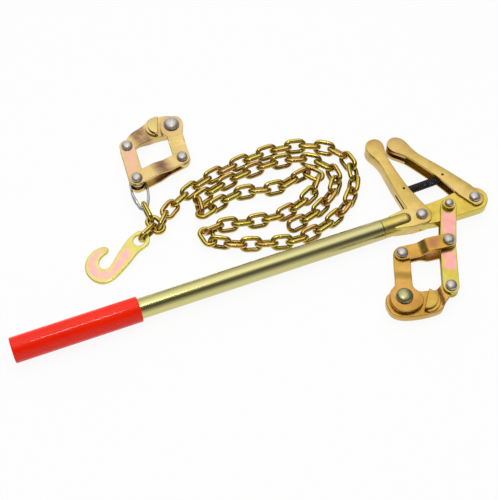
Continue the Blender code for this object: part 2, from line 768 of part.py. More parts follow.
def smooth_route():
    """Dense points (x, y, z, tilt) on a curve through the route."""
    pts = [np.array((*(corner + np.array((x, y)) * ROUTE_SCALE), lift * ROUTE_SCALE, tilt), float)
           for x, y, lift, tilt in ROUTE]
    pts[0][2] = CHAIN_MID_Z - rest_height(0)
    pts.append(pts[-1] * 3 - pts[-2] * 2)
    dense = []
    for i in range(len(pts) - 1):
        p0 = pts[max(i - 1, 0)]
        p1 = pts[i]
        p2 = pts[i + 1]
        p3 = pts[min(i + 2, len(pts) - 1)]
        for k in range(24):
            s = k / 24
            q = 0.5 * (2 * p1 + (p2 - p0) * s + (2 * p0 - 5 * p1 + 4 * p2 - p3) * s * s
                       + (3 * p1 - p0 - 3 * p2 + p3) * s ** 3)
            dense.append(np.array((q[0], q[1], rest_height(q[3]) + q[2], q[3])))
    return dense


def roll_of(index, tilt):
    return tilt + (0 if index % 2 else 90)


def link_frames():
    """Start, end and tilt of each link. Links span one pitch along the route; at a bend a link that lies flat turns
    about the end of the link before it, and one that stands on edge turns about its own end."""
    dense = smooth_route()
    frames = []
    here = dense[0]
    before = None
    at = 0
    while len(frames) < LINK_COUNT and at < len(dense) - 1:
        at += 1
        far = dense[at]
        if np.linalg.norm(far[:3] - here[:3]) < LINK_PITCH:
            continue
        t = (far[:3] - here[:3]) / np.linalg.norm(far[:3] - here[:3])
        tilt = far[3] if before is None else (here[3] + far[3]) / 2
        share = math.cos(math.radians(2 * roll_of(len(frames), tilt)))
        start = here[:3]
        if before is not None:
            start = start + (before - t) * share * LINK_INWARD
        end = start + t * LINK_PITCH
        frames.append((start, end, tilt))
        here = np.array((*end, far[3]))
        before = t
    return frames


def link_mesh(start, end, roll, slack_start, slack_end, bend=4):
    """Points and faces of one oval link; positive slack leaves a gap at that end, negative lets it bite."""
    start = np.array(start, float)
    end = np.array(end, float)
    t = end - start
    length = np.linalg.norm(t)
    t /= length
    flat = np.cross((0.0, 0.0, 1.0), t)
    flat /= np.linalg.norm(flat)
    lift = np.cross(t, flat)
    a = math.radians(roll)
    w = math.cos(a) * flat + math.sin(a) * lift
    n = np.cross(t, w)
    arc = LINK_INNER / 2 + LINK_INWARD
    x0 = -slack_start - LINK_INWARD + arc
    x1 = length + slack_end + LINK_INWARD - arc
    centre = []
    for k in range(bend + 1):
        q = math.pi * k / bend
        centre.append((x1 + arc * math.sin(q), -arc * math.cos(q), math.sin(q), -math.cos(q)))
    for k in range(bend + 1):
        q = math.pi * k / bend
        centre.append((x0 - arc * math.sin(q), arc * math.cos(q), -math.sin(q), math.cos(q)))
    points = []
    for x, y, ox, oy in centre:
        p = start + t * x + w * y
        o = t * ox + w * oy
        for k in range(LINK_SIDES):
            b = 2 * math.pi * k / LINK_SIDES
            points.append(tuple(p + LINK_FACET * (math.cos(b) * o + math.sin(b) * n)))
    count = len(centre)
    faces = []
    for i in range(count):
        j = (i + 1) % count
        for k in range(LINK_SIDES):
            m = (k + 1) % LINK_SIDES
            faces.append((i * LINK_SIDES + k, i * LINK_SIDES + m, j * LINK_SIDES + m, j * LINK_SIDES + k))
    return points, faces


def links_solid(name, meshes):
    points = []
    faces = []
    for p, f in meshes:
        base = len(points)
        points += p
        faces += [tuple(base + i for i in q) for q in f]
    return solid(name, points, faces)


frames = link_frames()
chain_body = body("chain_lift", *(corner + np.array((-100.0, 80.0))), 0, root)
CLEAR = GAP + LINK_WIRE * 0.12
BITE = -LINK_WIRE * 0.04


def bend_at(index):
    """Angle between a link and the one before it."""
    if index in (0, len(frames)):
        return 0.0
    u = frames[index - 1][1] - frames[index - 1][0]
    v = frames[index][1] - frames[index][0]
    return math.acos(max(-1.0, min(1.0, float(u @ v) / LINK_PITCH ** 2)))


def room_before(index):
    lean = math.sin(math.radians(2 * frames[index][2]))
    return CLEAR * math.cos(bend_at(index)) + LINK_WIRE * 0.15 * lean * bend_at(index)


def room_after(index):
    return CLEAR + LINK_WIRE * 0.15 * bend_at(index + 1)


strap_seat = STRAP_TIP_HEIGHT / 2 * math.tan(math.radians(22.5)) + 3 * GAP
for index, name in ((0, "end_link_strap"), (1, "end_link_turn")):
    start, end, tilt = frames[index]
    before = room_before(index) if index else strap_seat
    mesh = link_mesh(start, end, roll_of(index, tilt), before, room_after(index))
    place(links_solid(name, [mesh]), chain_body, name, OLIVE, 1.0, 0.35, True)

runs = []
begin = 2
while begin < len(frames):
    choices = range(begin + RUN_LINKS - 1, begin + RUN_LINKS + 3)
    stop = min(choices, key=lambda i: bend_at(i) if i < len(frames) else 0.0)
    if stop > len(frames) - RUN_LINKS + 1:
        stop = len(frames)
    runs.append(range(begin, stop))
    begin = stop
for number, members in enumerate(runs, 1):
    groups = ([], [])
    for index in members:
        start, end, tilt = frames[index]
        before = BITE if index > members[0] else room_before(index)
        after = BITE if index < members[-1] else room_after(index)
        groups[(index - members[0]) % 2].append(link_mesh(start, end, roll_of(index, tilt), before, after))
    name = f"chain_run_{number:02d}"
    run = links_solid(name, groups[0])
    if groups[1]:
        join(run, helper(links_solid(name + "_even", groups[1])))
    place(run, chain_body, name, OLIVE, 1.0, 0.35, True)
print("links:", len(frames), "runs:", len(runs))

# Strap that hangs the second gripper on the last link, pear shaped round rivet A
down = turn(STRAP_ANGLE)
across = np.array((-down[1], down[0]))
hang = strap_seat + LINK_INWARD
hang_at = frames[0][0] - (frames[0][1] - frames[0][0]) / LINK_PITCH * hang
apex = hang_at[:2] + down * hang
STRAP_TIP_R = LINK_WIRE / 2 + 4 * GAP
A2 = apex - down * STRAP_LENGTH
strap_body = body("strap_pivot", *hang_at[:2], CHAIN_MID_Z, chain_body)
round_at = STRAP_LENGTH - (STRAP_TOP_R - RIVET_R - 2 * GAP)
lean = math.degrees(math.asin((STRAP_TOP_R - STRAP_TIP_R) / (round_at - STRAP_TIP_R)))
rivet_half = CORE / 2 - 0.1
loop = []
for k in range(9):
    a = math.radians(-90 - lean + (180 + 2 * lean) * k / 8)
    loop.append((-round_at - STRAP_TOP_R * math.cos(a), STRAP_TOP_R * math.sin(a), -math.cos(a), math.sin(a), rivet_half))
tip = []
for k in range(7):
    a = math.radians(90 - lean - (180 - 2 * lean) * k / 6)
    tip.append((-STRAP_TIP_R + STRAP_TIP_R * math.cos(a), STRAP_TIP_R * math.sin(a), math.cos(a), math.sin(a),
                STRAP_TIP_HEIGHT / 2))
sides = ((half + 1.5, rivet_half), (half + 6.0, STRAP_HEIGHT / 2), (STRAP_LENGTH - 9.0, STRAP_HEIGHT / 2))
one, two = [], []
for run, tall in sides:
    mix = (run - STRAP_LENGTH - loop[-1][0]) / (tip[0][0] - loop[-1][0])
    for edge, begin, end in ((one, loop[-1], tip[0]), (two, loop[0], tip[-1])):
        edge.append((*[p + (q - p) * mix for p, q in zip(begin[:4], end[:4])], tall))
loop = loop + one + tip + list(reversed(two))
points = []
for x, y, ox, oy, tall in loop:
    for grow, z in ((0, -tall), (STRAP_THICK, -tall), (STRAP_THICK, tall), (0, tall)):
        spot = apex + down * (x + ox * grow) + across * (y + oy * grow)
        points.append((*spot, CHAIN_MID_Z + z))
count = len(loop)
faces = []
for i in range(count):
    j = (i + 1) % count
    for k in range(4):
        m = (k + 1) % 4
        faces.append((4 * i + k, 4 * i + m, 4 * j + m, 4 * j + k))
place(solid("chain_strap", points, faces), strap_body, "chain_strap", SILVER, 1.0, 0.25)

CHAIN_HUB = ((-11, 10.2, 12.2), (-8, 11.4, 13.6), (-3, 12.8, 13.8), (1, 13.2, 13.4), (6, 12, 12.2), (9.5, 9, 9.5),
             (11.5, 4, 5))
CHAIN_EDGES = ((-13.5, -1, 5), (-12.2, -5, 9), (-8, -9.5, 14.5), (-1, -11.5, 19), (8, -8.5, 21.5), (15, -5.4, 21.8),
               (20, -4.2, 21.4), (28, -2.4, 19.6))
CHAIN_REACH = 13.4
gripper("chain_grip", A2, CHAIN_GRIP_ANGLE, CHAIN_CROSS, CHAIN_SIDE, CHEEK_INNER, CHAIN_MID_Z, strap_body,
        CHAIN_MID_Z - CHAIN_STACK, CHAIN_HUB, CHAIN_EDGES, CHAIN_REACH, 0.5)

# Hook link through one leg of the second end link, and the flat hook that hangs on it
seat_start, seat_end, _ = frames[1]
seat_u = (seat_end - seat_start)[:2]
seat_u /= np.linalg.norm(seat_u)
leg_side = np.array((seat_u[1], -seat_u[0]))
leg = seat_end[:2] - seat_u * (LINK_WIRE * 1.42) + leg_side * (LINK_INNER / 2)
hook_dir = turn(208.0)
hook_joint = leg + hook_dir * LINK_PITCH
z_link = rest_height(0)
mesh = link_mesh((*leg, z_link), (*hook_joint, z_link), 90, CLEAR, CLEAR)
place(links_solid("hook_link", [mesh]), chain_body, "hook_link", OLIVE, 1.0, 0.35, True)

hook_seat = HOOK_THICK / 2 * math.tan(math.radians(22.5)) + GAP
hook_eye = hook_joint + hook_dir * (HOOK_HOLE_RADIUS - hook_seat)
hook_body = body("hook_pivot", *hook_eye, 0, chain_body)
along = turn(196.5)
beside = np.array((-along[1], along[0]))
HOOK_CORNERS = ((9, 10.5), (20, 14.6), (36, 18.8), (51, 21.6), (63, 18.8), (70, 9), (71, -3), (66.5, -12.6), (57, -19),
                (45.5, -20.6), (36.5, -18.6), (32.5, -13.2), (36, -9.4), (45, -9.6), (52.5, -5.4), (54.5, 1.5),
                (50, 7), (43, 6.2), (32, 0.2), (20, -4.8), (8, -9.5))
eye_arc = circle((0, 0), HOOK_EYE_RADIUS + 0.6, 9, 115, 245)
corners = [(x * HOOK_REACH / 71.0, y) for x, y in HOOK_CORNERS] + [(x, -y) for x, y in eye_arc]
outline = rounded(corners, 1)
low_eye = z_link - HOOK_THICK / 2
slope = (low_eye - GAP) / (HOOK_EYE_RADIUS + HOOK_REACH)


def on_hook(s, c, z):
    spot = hook_eye + along * s + beside * c
    return (*spot, low_eye - slope * (s + HOOK_EYE_RADIUS) + z)


n = len(outline)
points = [on_hook(s, c, 0) for s, c in outline] + [on_hook(s, c, HOOK_THICK) for s, c in outline]
faces = [tuple(range(n)), tuple(range(n, 2 * n))] + [(i, (i + 1) % n, n + (i + 1) % n, n + i) for i in range(n)]
hook_obj = solid("chain_hook", points, faces)
cut(hook_obj, helper(prism("hook_hole", circle(hook_eye, HOOK_HOLE_RADIUS, 18), -10, 40)))
place(hook_obj, hook_body, "chain_hook", ROSE)

# The layout is centred over the ground plane
bpy.context.view_layer.update()
graph = bpy.context.evaluated_depsgraph_get()
low = np.full(3, np.inf)
high = np.full(3, -np.inf)
for obj in bpy.context.scene.objects:
    if obj.type == "MESH" and not obj.hide_render:
        shown = obj.evaluated_get(graph)
        for corner_point in shown.bound_box:
            spot = np.array(shown.matrix_world @ Vector(corner_point))
            low = np.minimum(low, spot)
            high = np.maximum(high, spot)
root.location = Vector((-(low[0] + high[0]) / 2, -(low[1] + high[1]) / 2, -low[2]))
print("size, mm:", np.round((high - low) * 1000, 1))
print("layout origin at, mm:", np.round(np.array(root.location) * 1000, 2))
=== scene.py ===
import json
import math
from types import SimpleNamespace

import bmesh
import bpy
import numpy as np
from mathutils import Matrix, Vector


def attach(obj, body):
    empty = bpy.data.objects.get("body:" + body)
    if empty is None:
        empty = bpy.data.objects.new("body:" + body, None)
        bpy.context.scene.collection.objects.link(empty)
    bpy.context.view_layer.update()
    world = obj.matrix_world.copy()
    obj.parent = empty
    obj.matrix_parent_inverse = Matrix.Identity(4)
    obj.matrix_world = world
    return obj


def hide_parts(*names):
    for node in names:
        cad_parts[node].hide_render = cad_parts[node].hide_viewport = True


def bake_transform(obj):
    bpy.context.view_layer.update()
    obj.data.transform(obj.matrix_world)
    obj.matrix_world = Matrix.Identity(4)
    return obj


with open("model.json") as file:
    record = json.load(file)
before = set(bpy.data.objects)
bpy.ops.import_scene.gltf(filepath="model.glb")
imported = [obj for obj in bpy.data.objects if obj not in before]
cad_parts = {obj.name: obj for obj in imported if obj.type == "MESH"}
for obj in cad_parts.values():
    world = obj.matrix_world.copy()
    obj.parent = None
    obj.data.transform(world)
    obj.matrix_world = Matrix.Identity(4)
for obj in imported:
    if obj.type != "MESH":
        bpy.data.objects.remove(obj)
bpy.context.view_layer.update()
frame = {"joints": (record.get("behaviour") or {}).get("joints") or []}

# Handle tube: drawn steel tube, zinc plated and yellow passivated, so it is khaki with streaks along it. It
# is pushed over the spigot of the head and its far end is closed by the grip. Sizes are millimetres on a
# layout whose origin lies on the ground below the fork rivet.
MM = 0.001
GAP = 0.3
LEVER_Z = 13.7
HANDLE_Y = 2.0
TUBE_FROM = -450.0
TUBE_TO = -46.0
TUBE_RADIUS = 11.0
TUBE_BORE = 8.5
HANDLE_SIDES = 72
GREEN_FROM = 215
GREEN_TO = 320
GREEN_SHARE = 0.55
axes = {joint["name"]: Vector(joint["pos_m"]) for joint in frame["joints"] if joint["type"] == "hinge"}
layout = axes["draw_plate_swing"] - Vector((0, 0, LEVER_Z * MM))


def pivot(joint):
    """Plan position of a joint axis on the layout."""
    at = (axes[joint] - layout) / MM
    return np.array((at.x, at.y))


CREASE = 38


def sharpened(mesh, degrees=CREASE):
    """Smooth shading with the real edges kept."""
    mesh.shade_smooth()
    mesh.set_sharp_from_angle(angle=math.radians(degrees))
    return mesh


def solid(name, points, faces, degrees=CREASE):
    """A closed piece from points in millimetres on the layout."""
    mesh = bpy.data.meshes.new(name)
    mesh.from_pydata([layout + Vector(p) * MM for p in points], [], faces)
    form = bmesh.new()
    form.from_mesh(mesh)
    bmesh.ops.recalc_face_normals(form, faces=form.faces[:])
    form.to_mesh(mesh)
    form.free()
    piece = bpy.data.objects.new(name, sharpened(mesh, degrees))
    bpy.context.scene.collection.objects.link(piece)
    return piece


def turned(name, profile, sides, at, along_x=False, closed=False):
    """A turned piece from (radius, height) points; closed joins the last ring to the first, as in a tube."""
    points = []
    rings = []
    for r, h in profile:
        count = sides if r > 0 else 1
        rings.append([len(points) + k for k in range(count)])
        points += [(r * math.cos(2 * math.pi * k / sides), r * math.sin(2 * math.pi * k / sides), h)
                   for k in range(count)]
    if closed:
        rings.append(rings[0])
    faces = []
    for a, b in zip(rings, rings[1:]):
        for k in range(sides):
            j = (k + 1) % sides
            ring = (a[k % len(a)], a[j % len(a)], b[j % len(b)], b[k % len(b)])
            faces.append(tuple(dict.fromkeys(ring)))
    if along_x:
        points = [(z, x, y) for x, y, z in points]
    return solid(name, [(x + at[0], y + at[1], z + at[2]) for x, y, z in points], faces)


def softened(corners, size, steps=4):
    """A profile with its inner corners rounded by about this size."""
    pts = [np.array(p, float) for p in corners]
    out = [tuple(pts[0])]
    for before, p, after in zip(pts, pts[1:], pts[2:]):
        a = p + (before - p) * min(0.45, size / max(np.linalg.norm(before - p), 1e-6))
        b = p + (after - p) * min(0.45, size / max(np.linalg.norm(after - p), 1e-6))
        for k in range(steps + 1):
            t = k / steps
            out.append(tuple(a * (1 - t) ** 2 + p * 2 * t * (1 - t) + b * t * t))
    return out + [tuple(pts[-1])]


def node(tree, kind, **values):
    """A shader node with these settings and socket values."""
    made = tree.nodes.new(kind)
    for key, value in values.items():
        if hasattr(made, key):
            setattr(made, key, value)
        else:
            made.inputs[key.replace("_", " ")].default_value = value
    return made


def maths(tree, how, *sources):
    """One sum on values; each source is a socket or a number."""
    made = node(tree, "ShaderNodeMath", operation=how)
    for key, source in enumerate(sources):
        if isinstance(source, float):
            made.inputs[key].default_value = source
        else:
            tree.links.new(source, made.inputs[key])
    return made.outputs[0]


def ramp(tree, source, stops):
    """Colours that follow a value, from stops of (place, colour)."""
    made = node(tree, "ShaderNodeValToRGB")
    line = made.color_ramp.elements
    while len(line) < len(stops):
        line.new(0.5)
    for stop, (at, colour) in zip(line, stops):
        stop.position = at
        stop.color = (*colour, 1.0)
    tree.links.new(source, made.inputs["Fac"])
    return made.outputs["Color"]


def blend_colour(tree, amount, a, b):
    """Colour a turned into colour b by an amount; 6, 7 and 2 are the node's colour sockets."""
    made = node(tree, "ShaderNodeMix", data_type="RGBA", clamp_factor=True)
    for source, key in ((amount, 0), (a, 6), (b, 7)):
        if isinstance(source, tuple):
            made.inputs[key].default_value = (*source, 1.0)
        else:
            tree.links.new(source, made.inputs[key])
    return made.outputs[2]


def ranged(tree, source, low, high, start=0.0, end=1.0):
    """A value carried over from the range start to end into the range low to high."""
    made = node(tree, "ShaderNodeMapRange", From_Min=start, From_Max=end, To_Min=low, To_Max=high)
    tree.links.new(source, made.inputs["Value"])
    return made.outputs["Result"]


def noise(tree, scale, detail=3.0, stretch=(1, 1, 1), rough=0.55):
    """Clouds fixed to the piece, stretched along its axes."""
    coord = node(tree, "ShaderNodeTexCoord")
    place = node(tree, "ShaderNodeMapping", Scale=stretch)
    cloud = node(tree, "ShaderNodeTexNoise", Scale=scale, Detail=detail, Roughness=rough)
    tree.links.new(coord.outputs["Object"], place.inputs["Vector"])
    tree.links.new(place.outputs["Vector"], cloud.inputs["Vector"])
    return cloud.outputs["Fac"]


def painted(tree, name):
    """A value laid on the mesh beforehand, such as how far a spot lies from the edge."""
    return node(tree, "ShaderNodeAttribute", attribute_name=name).outputs["Fac"]


FINE_GRAIN = 150.0
DARK_SHARE = 0.22


def plating(name, tones, blush, rim, rough, cloud, bump=0.03, grain=(1, 1, 1), metal=1.0):
    """Passivated zinc: clouded tones, then three colours where the piece was painted with them. A bloom
    colour, which is a pink bloom on most pieces and painted shade on the gripper bends and slopes and inside
    the strap. A rim colour, the plating's own tint, which on rounded edges is partly a painted highlight. A
    dark colour, which is a darker tone on the dog and painted shade on the chain and the strap."""
    mat = bpy.data.materials.new(name)
    mat.use_nodes = True
    tree = mat.node_tree
    shader = tree.nodes["Principled BSDF"]
    shader.inputs["Metallic"].default_value = metal
    drift = noise(tree, cloud, 3.0, grain)
    colour = ramp(tree, drift, [(0.30 + 0.40 * k / (len(tones) - 1), tone) for k, tone in enumerate(tones)])
    mottle = ranged(tree, noise(tree, cloud * 3.4, 2.0), 0.55, 1.25, 0.3, 0.7)
    # Bloom colour: a pink bloom, and painted shade on pieces whose bloom colour is dark.
    bloom = maths(tree, "MULTIPLY", painted(tree, "blush"), mottle)
    colour = blend_colour(tree, bloom, colour, blush)
    colour = blend_colour(tree, painted(tree, "rim"), colour, rim)
    # Dark colour: a darker tone on the dog, and painted shade on the chain and the strap.
    smoked = tuple(DARK_SHARE * part for part in tones[0])
    colour = blend_colour(tree, painted(tree, "smoke"), colour, smoked)
    tree.links.new(colour, shader.inputs["Base Color"])
    fine = noise(tree, FINE_GRAIN, 2.0, grain, 0.5)
    tree.links.new(ranged(tree, fine, rough[0], rough[1], 0.3, 0.7), shader.inputs["Roughness"])
    relief = node(tree, "ShaderNodeBump", Strength=bump, Distance=0.0004)
    tree.links.new(fine, relief.inputs["Height"])
    tree.links.new(relief.outputs["Normal"], shader.inputs["Normal"])
    return mat


def plan(piece):
    """Layout coordinates of the points of a piece."""
    return np.array([(v.co - layout) / MM for v in piece.data.vertices])


def step_up(x, low, high):
    """A soft step from 0 below low to 1 above high."""
    t = np.clip((np.asarray(x, float) - low) / (high - low), 0, 1)
    return t * t * (3 - 2 * t)


def paint(piece, domain="POINT", **values):
    """Lays named values on the points, or on the faces, of a piece."""
    count = len(piece.data.vertices) if domain == "POINT" else len(piece.data.polygons)
    for name, value in values.items():
        layer = piece.data.attributes.new(name, "FLOAT", domain)
        layer.data.foreach_set("value", np.broadcast_to(value, count).astype(np.float32))
    return piece


def fit(piece, finish, slot, body, *nodes):
    """Gives a piece its finish and hangs it on its body in place of these solids."""
    piece.data.materials.append(finish)
    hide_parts(*nodes)
    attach(piece, body)
    return piece


KHAKI = (0.47, 0.43, 0.20)
STRAW = (0.62, 0.57, 0.29)
LEAF = (0.62, 0.58, 0.14)
ROSE = (0.80, 0.36, 0.34)
HAY = (0.54, 0.49, 0.21)
tube_finish = plating("satin_khaki_zinc", [KHAKI, STRAW, HAY], ROSE, LEAF, (0.20, 0.28), 42.0, 0.04,
                      (0.06, 1, 1))
handle_axis = (0, HANDLE_Y, LEVER_Z)
tube_profile = softened(
    [(TUBE_BORE + 1, TUBE_FROM), (TUBE_RADIUS, TUBE_FROM), (TUBE_RADIUS, TUBE_TO), (TUBE_BORE, TUBE_TO),
     (TUBE_BORE, TUBE_FROM), (TUBE_BORE + 1, TUBE_FROM)],
    0.5,
)[:-1]
tube = turned("handle_tube_drawn", tube_profile, HANDLE_SIDES, handle_axis, along_x=True, closed=True)
paint(tube, blush=0.0, rim=GREEN_SHARE * step_up(-plan(tube)[:, 0], GREEN_FROM, GREEN_TO))
fit(tube, tube_finish, "olive_zinc", "handle", "handle_tube")

# Grip: soft red plastic, dipped over the end of the tube. It is glossy, a little uneven where it ran while it
# set, closed at the far end and open with a soft lip towards the tube.
GRIP_FROM = -452.9
GRIP_TO = -317.9
GRIP_RADIUS = 13.7
GRIP_BORE = 11.3
GRIP_LIP = 1.6
RED = (1.0, 0.02, 0.0)
DEEP_RED = (0.95, 0.014, 0.0)
grip_finish = bpy.data.materials.new("dipped_red_plastic")
grip_finish.use_nodes = True
tree = grip_finish.node_tree
shader = tree.nodes["Principled BSDF"]
shader.inputs["Specular IOR Level"].default_value = 0.04
shader.inputs["Coat Weight"].default_value = 0.5
shader.inputs["Coat Roughness"].default_value = 0.05
drift = noise(tree, 30.0, 2.0, (0.3, 1, 1))
tree.links.new(ramp(tree, drift, [(0.3, DEEP_RED), (0.65, RED)]), shader.inputs["Base Color"])
ripple = noise(tree, 60.0, 2.0, (0.15, 1, 1))
tree.links.new(ranged(tree, noise(tree, 300.0, 3.0), 0.10, 0.22, 0.3, 0.7), shader.inputs["Roughness"])
relief = node(tree, "ShaderNodeBump", Strength=0.02, Distance=0.0006)
tree.links.new(ripple, relief.inputs["Height"])
tree.links.new(relief.outputs["Normal"], shader.inputs["Normal"])
grip_profile = softened(
    [(0, GRIP_FROM), (GRIP_RADIUS, GRIP_FROM), (GRIP_RADIUS, GRIP_TO), (GRIP_BORE, GRIP_TO),
     (GRIP_BORE, TUBE_FROM - GAP), (0, TUBE_FROM - GAP)],
    GRIP_LIP,
    6,
)
grip = turned("grip_sleeve_dipped", grip_profile, HANDLE_SIDES, handle_axis, along_x=True)
fit(grip, grip_finish, "red_grip", "handle", "grip_sleeve")

# Head: one steel forging with a round shank, a fork for the draw plate and the fixed arm, which is a channel
# with a broad slotted nose. Its spigot fills the end of the tube. Gold zinc, tan at the nose and greener on
# the shank.
CHEEK_INNER = 6.1
CHEEK_OUTER = 8.3
HUB_RADIUS = 10.0
WEB = 3.6
NOSE_SLOT = 3.2
SHANK_RADIUS = 10.7
SHANK_NOSE = -19.0
SPIGOT = 40.0
ARM_ANGLE = 96.75
DOG_ANGLE = 117.8
DRAWN_LENGTH = 114.0
ARM_SIZE = 110.2 / DRAWN_LENGTH
DOG_SIZE = 116.5 / DRAWN_LENGTH
OUTER_SIDE = ((14, 10.2), (40, 9.2), (60, 7.6), (79, 5.4), (90, 6.8), (100, 9.8), (108, 9.2), (114, 4.5))
INNER_SIDE = ((115, -3.5), (111, -9.8), (103, -11.4), (95, -8.6), (86, -5.8), (60, -5.2), (38, -5.4),
              (14, -8.8))
CHANNEL_END = 87
SLOT_FROM = 84
SLOT_TO = 118
WINDOW = ((18, 2), (18, 16), (38, 16), (38, 2))
WINDOW_HALF = 1.9
ARM_CLEAR = 12.3
FORGED_EDGE = 0.7
CUT_EDGE = 0.05
TAN_FROM = 80
TAN_TO = 105
fork_at = pivot("draw_plate_swing")
pull_at = pivot("pull_link_swing")
dog_at = pivot("chain_dog_swing")


def turn(degrees):
    """The way that points at this angle."""
    return np.array((math.cos(math.radians(degrees)), math.sin(math.radians(degrees))))


def arc(at, radius, count, start, end):
    """Points on an arc, from one angle to another."""
    sweep = end - start
    return [tuple(np.array(at) + radius * turn(start + sweep * k / (count - 1))) for k in range(count)]


def circle(at, radius, count=40):
    """Points on a full circle, as for a bore."""
    return [tuple(np.array(at) + radius * turn(360 * k / count)) for k in range(count)]


def eased(points, rounds=3, closed=False):
    """A line with its corners cut back evenly; an open line keeps its ends."""
    pts = [np.array(p, float) for p in points]
    for _ in range(rounds):
        nxt = [] if closed else [pts[0]]
        for p, q in zip(pts, pts[1:] + pts[:1] if closed else pts[1:]):
            nxt += [p * 0.75 + q * 0.25, p * 0.25 + q * 0.75]
        pts = nxt if closed else nxt + [pts[-1]]
    return [tuple(p) for p in pts]


PLATE_CREASE = 16


def plate(name, outline, low, high, edge, holes=(), grid=None, shift=None):
    """A flat piece with rounded edges and bores. A grid (origin, direction, step) adds the lines that a bend
    or a bloom needs; shift(along, upper) then lifts each point."""
    curve = bpy.data.curves.new(name, "CURVE")
    curve.dimensions = "2D"
    curve.fill_mode = "BOTH"
    for ring in (outline, *holes):
        line = curve.splines.new("POLY")
        line.points.add(len(ring) - 1)
        line.points.foreach_set("co", [v for x, y in ring for v in (x, y, 0, 1)])
        line.use_cyclic_u = True
    curve.extrude = (high - low) / 2 - edge
    curve.bevel_depth = edge
    curve.bevel_resolution = 2
    curve.offset = -edge
    drawn = bpy.data.objects.new(name + "_drawn", curve)
    bpy.context.scene.collection.objects.link(drawn)
    bpy.context.view_layer.update()
    mesh = bpy.data.meshes.new_from_object(drawn.evaluated_get(bpy.context.evaluated_depsgraph_get()))
    bpy.data.objects.remove(drawn)
    bpy.data.curves.remove(curve)
    form = bmesh.new()
    form.from_mesh(mesh)
    bmesh.ops.remove_doubles(form, verts=form.verts[:], dist=1e-4)
    bmesh.ops.recalc_face_normals(form, faces=form.faces[:])
    if grid is not None:
        origin, direction, step = grid
        for way in (np.array(direction), np.array((-direction[1], direction[0]))):
            reach = [(np.array((v.co.x, v.co.y)) - origin) @ way for v in form.verts]
            at = math.ceil(min(reach) / step) * step
            while at < max(reach):
                cut = np.array(origin) + way * at
                bmesh.ops.bisect_plane(form, geom=form.verts[:] + form.edges[:] + form.faces[:], dist=1e-4,
                                       plane_co=(*cut, 0), plane_no=(*way, 0))
                at += step
    for v in form.verts:
        upper = v.co.z > 0
        v.co.z += (low + high) / 2
        if shift is not None:
            along = (np.array((v.co.x, v.co.y)) - origin) @ np.array(direction)
            v.co.z += shift(along, upper)
    bmesh.ops.triangulate(form, faces=[f for f in form.faces if len(f.verts) > 4])
    form.to_mesh(mesh)
    form.free()
    mesh.transform(Matrix.LocRotScale(layout, None, (MM, MM, MM)))
    piece = bpy.data.objects.new(name, sharpened(mesh, PLATE_CREASE))
    bpy.context.scene.collection.objects.link(piece)
    return piece


def worked(piece, *steps):
    """Cuts from, or welds onto, a piece; the tools are taken away again."""
    for how, tool in steps:
        change = piece.modifiers.new(tool.name, "BOOLEAN")
        change.operation = how
        change.solver = "EXACT"
        change.object = tool
    bpy.context.view_layer.update()
    made = bpy.data.meshes.new_from_object(piece.evaluated_get(bpy.context.evaluated_depsgraph_get()))
    piece.modifiers.clear()
    piece.data = sharpened(made, PLATE_CREASE)
    for _, tool in steps:
        bpy.data.objects.remove(tool)
    return piece


def gap_to(points, outline):
    """Distance of each plan point from a closed outline."""
    ring = np.array(outline)
    a = ring[None, :, :]
    d = np.roll(ring, -1, axis=0)[None, :, :] - a
    p = np.array(points)[:, None, :]
    t = np.clip(((p - a) * d).sum(2) / np.maximum((d * d).sum(2), 1e-9), 0, 1)
    return np.linalg.norm(p - a - d * t[:, :, None], axis=2).min(1)


LEVEL = 0.92


def edged(piece, outline, shine, edge=FORGED_EDGE):
    """Marks the rounded edge of a piece, face by face, for a brighter rim colour there. This colour is partly
    the plating's own tint and partly a painted highlight on the bevel. A face whose normal rises more than
    LEVEL belongs to the flat."""
    centres = np.array([(face.center - layout) / MM for face in piece.data.polygons])
    leaning = np.array([abs(face.normal.z) < LEVEL for face in piece.data.polygons])
    return paint(piece, "FACE", rim=shine * leaning * (gap_to(centres[:, :2], outline) < edge))


arm_u, arm_out = turn(ARM_ANGLE), turn(ARM_ANGLE + 90)
dog_u, dog_out = turn(DOG_ANGLE), turn(DOG_ANGLE - 90)


def on_arm(a, c):
    """Plan point at a along the fixed arm and c out from its middle."""
    return tuple(fork_at + arm_u * a + arm_out * c)


def on_dog(a, c):
    """Plan point at a along the chain dog and c out from its middle."""
    return tuple(dog_at + dog_u * a + dog_out * c)


def dog_sides(size):
    """Both sides of a chain dog, from the hub along the outer side, round the broad nose and back."""
    return eased([(x * size, y) for x, y in OUTER_SIDE + INNER_SIDE], 3)


def channel(name, to_plan, clear, size):
    """The open inside of a dog, which leaves a web along its outer side and a solid nose."""
    end = CHANNEL_END * size
    web = eased([(x * size, y - WEB) for x, y in OUTER_SIDE[:4]] + [(end, 4.0 - WEB)], 2)
    begin = math.degrees(math.asin(web[0][1] / clear))
    shape = list(reversed(arc((0, 0), clear, 40, begin, 270))) + web + [(end, -30), (0, -30)]
    shape = [to_plan(a, c) for a, c in shape]
    return plate(name, shape, LEVER_Z - CHEEK_INNER, LEVER_Z + CHEEK_INNER, CUT_EDGE)


def nose_slot(name, to_plan, size):
    """The slot through the nose of a dog, open towards the chain."""
    begin = SLOT_FROM * size
    end = SLOT_TO * size
    shape = [to_plan(a, c) for a, c in ((begin, -1), (end, -1), (end, -16), (begin, -16))]
    return plate(name, shape, LEVER_Z - NOSE_SLOT, LEVER_Z + NOSE_SLOT, CUT_EDGE)


